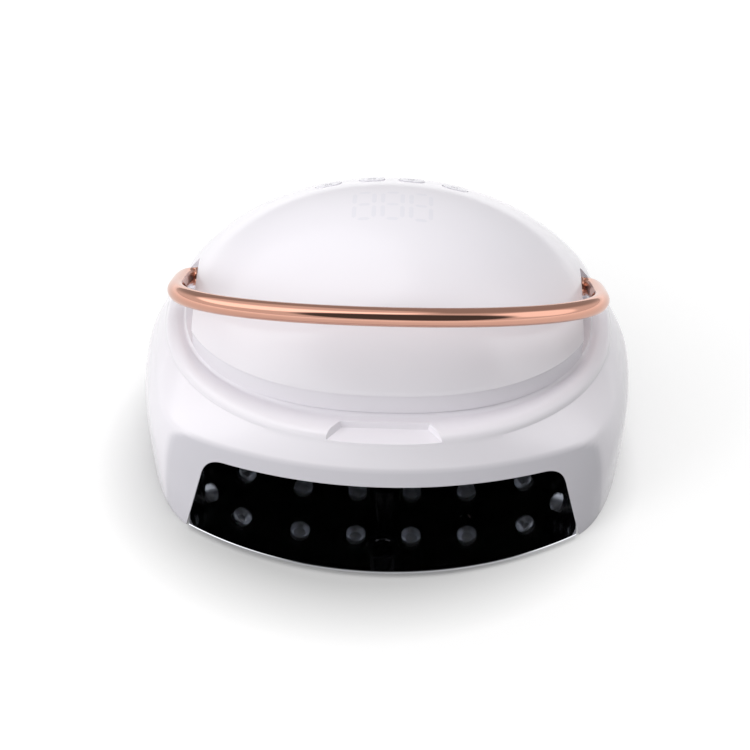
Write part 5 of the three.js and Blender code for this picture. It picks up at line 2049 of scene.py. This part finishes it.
@dataclass
class Studio:
    """Camera, pale floor and soft lights.

    The floor's glow grows over two spans of distance from an oval under the lamp, one near it and one far
    from it, and is the product of both: a painted shadow, dimmest close round and in front of the lamp.
    Distances count in half sizes of the oval, and so does its shift.
    """

    azimuth: float = 0.6
    roll: float = 1.1
    elevation: float = 40.0
    distance: float = 1.0
    target: Vector = field(default_factory=lambda: Vector((0, 0, 60 * MM)))
    frame_px: float = 750.0
    focal_px: float = 1940.0
    target_px: tuple[float, float] = (388.0, 332.3)
    sensor: float = 36.0
    sky: float = 0.35
    floor_grey: float = 0.55
    # Oval and fades of the floor's painted shadow.
    painted_shadow_half: Point = (110 * MM, 100 * MM)
    painted_shadow_shift: Point = (0.09, 0.3)
    painted_shadow_near_span: Point = (0.9, 1.3)
    painted_shadow_near_glow: Point = (0.2, 1.0)
    painted_shadow_far_span: Point = (1.3, 9.0)
    painted_shadow_far_glow: Point = (0.5, 0.96)

    def build(self) -> None:
        """Set up the whole stage."""
        self.camera()
        self.floor()
        self.world()
        self.lights()
        bpy.context.scene.view_settings.view_transform = "Standard"

    def camera(self) -> None:
        """Place the camera at the photograph's angle."""
        a, e = math.radians(self.azimuth), math.radians(self.elevation)
        back = Vector((math.sin(a) * math.cos(e), -math.cos(a) * math.cos(e), math.sin(e)))
        data = bpy.data.cameras.new("camera")
        data.sensor_width = self.sensor
        data.lens = self.focal_px * self.sensor / self.frame_px
        data.shift_x = (self.frame_px / 2 - self.target_px[0]) / self.frame_px
        data.shift_y = (self.target_px[1] - self.frame_px / 2) / self.frame_px
        data.clip_end = 50
        camera = bpy.data.objects.new("camera", data)
        bpy.context.scene.collection.objects.link(camera)
        camera.location = self.target + back * self.distance
        aim = (-back).to_track_quat("-Z", "Y")
        aim = aim @ Matrix.Rotation(math.radians(self.roll), 3, "Z").to_quaternion()
        camera.rotation_euler = aim.to_euler()
        bpy.context.scene.camera = camera

    def floor(self) -> None:
        """Lay a pale floor that shows white to the camera, keeps the lamp's shadow from the lights, and has a
        painted shadow round the lamp where its glow is dimmed.
        """
        bpy.ops.object.select_all(action="DESELECT")
        bpy.ops.mesh.primitive_plane_add(size=12)
        floor = bpy.context.active_object
        floor.name = "floor"
        material = bpy.data.materials.new("white_sweep_painted_shadow")
        material.use_nodes = True
        tree = material.node_tree
        tree.nodes.clear()
        diffuse = add_node(tree, "ShaderNodeBsdfDiffuse", {
            "Color": (self.floor_grey, self.floor_grey, self.floor_grey, 1),
            "Roughness": 0.5,
        })
        rays = add_node(tree, "ShaderNodeLightPath").outputs
        seen = rays["Is Camera Ray"]
        for other in (rays["Is Glossy Ray"], rays["Is Transmission Ray"]):
            seen = add_node(tree, "ShaderNodeMath", {0: seen, 1: other}, operation="MAXIMUM").outputs[0]
        # Painted shadow: the glow that the camera and gloss see is dimmed near an oval under the lamp.
        wide, deep = self.painted_shadow_half
        place = add_node(tree, "ShaderNodeMapping", {
            "Vector": add_node(tree, "ShaderNodeTexCoord").outputs["Object"],
            "Location": (*self.painted_shadow_shift, 0),
            "Scale": (1 / wide, 1 / deep, 0),
        }).outputs["Vector"]
        away = add_node(tree, "ShaderNodeVectorMath", {0: place}, operation="LENGTH").outputs["Value"]
        lift = seen
        for span, result in ((self.painted_shadow_near_span, self.painted_shadow_near_glow), (self.painted_shadow_far_span, self.painted_shadow_far_glow)):
            part = add_node(tree, "ShaderNodeMapRange", {
                "Value": away,
                "From Min": span[0],
                "From Max": span[1],
                "To Min": result[0],
                "To Max": result[1],
            }).outputs["Result"]
            lift = add_node(tree, "ShaderNodeMath", {0: lift, 1: part}, operation="MULTIPLY").outputs[0]
        glow = add_node(tree, "ShaderNodeEmission", {"Color": (1, 1, 1, 1), "Strength": lift})
        both = add_node(tree, "ShaderNodeAddShader", {0: diffuse.outputs[0], 1: glow.outputs[0]})
        end = add_node(tree, "ShaderNodeOutputMaterial")
        tree.links.new(both.outputs[0], end.inputs["Surface"])
        floor.data.materials.append(material)

    def world(self) -> None:
        """Surround the lamp with pale light: white to the camera, lighter and darker patches to gloss."""
        world = bpy.data.worlds.new("studio")
        bpy.context.scene.world = world
        world.use_nodes = True
        tree = world.node_tree
        tree.nodes.clear()
        rays = add_node(tree, "ShaderNodeLightPath").outputs
        place = add_node(tree, "ShaderNodeTexCoord").outputs["Generated"]

        gloss = 1.0
        for patch in SKY:
            way = Vector(patch.towards).normalized()
            near = add_node(tree, "ShaderNodeVectorMath", {0: place, 1: way}, operation="DOT_PRODUCT")
            level = add_node(tree, "ShaderNodeMapRange", {
                "Value": near.outputs["Value"],
                "From Min": patch.edge,
                "From Max": patch.core,
                "To Min": 1.0,
                "To Max": patch.level,
            }, interpolation_type="SMOOTHSTEP").outputs["Result"]
            gloss = add_node(tree, "ShaderNodeMath", {0: gloss, 1: level}, operation="MULTIPLY").outputs[0]
        shiny = add_node(tree, "ShaderNodeMix", {"Factor": rays["Is Glossy Ray"], "A": self.sky, "B": gloss})
        clear = add_node(tree, "ShaderNodeMath", {
            0: rays["Is Camera Ray"],
            1: rays["Is Transmission Ray"],
        }, operation="MAXIMUM")
        strength = add_node(tree, "ShaderNodeMix", {
            "Factor": clear.outputs[0],
            "A": shiny.outputs[0],
            "B": 1.0,
        })
        sky = add_node(tree, "ShaderNodeBackground", {"Color": (1, 1, 1, 1), "Strength": strength.outputs[0]})
        end = add_node(tree, "ShaderNodeOutputWorld")
        tree.links.new(sky.outputs[0], end.inputs["Surface"])

    def lights(self) -> None:
        """Hang four soft boxes: one overhead, one low at the left and two high at the left and in front."""
        self.softbox("key", (-1.15, -0.3, 1.35), 1.4, 5.0)
        self.softbox("front", (-0.5, -0.9, 1.55), 1.8, 4.5)
        self.softbox("left_low", (-1.3, -0.9, 0.5), 0.8, 9.0)
        self.softbox("top", (0.3, 0.3, 1.7), 1.4, 14.0)

    def softbox(self, name: str, place: tuple[float, float, float], size: float, watts: float) -> None:
        """Add one square area light that faces the lamp and that gloss doesn't show.

        Args:
            name: Its name.
            place: Where it hangs.
            size: Its width and height.
            watts: Its power.
        """
        data = bpy.data.lights.new(name, "AREA")
        data.size = size
        data.energy = watts
        lamp = bpy.data.objects.new(name, data)
        bpy.context.scene.collection.objects.link(lamp)
        lamp.location = place
        lamp.rotation_euler = (self.target - Vector(place)).to_track_quat("-Z", "Y").to_euler()
        lamp.visible_glossy = False


def main() -> None:
    """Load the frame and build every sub-assembly in order."""
    logging.basicConfig(level=logging.INFO, format="%(message)s")
    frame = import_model()
    Studio().build()
    Housing().build()
    TopCover().build()
    for key in KEYS:
        key.build()
    Display().build()
    Handle().build()
    Liner().build()
    Plate().build()
    RearPanel().build()
    dress_nodes(frame["nodes"])


if __name__ == "__main__":
    main()
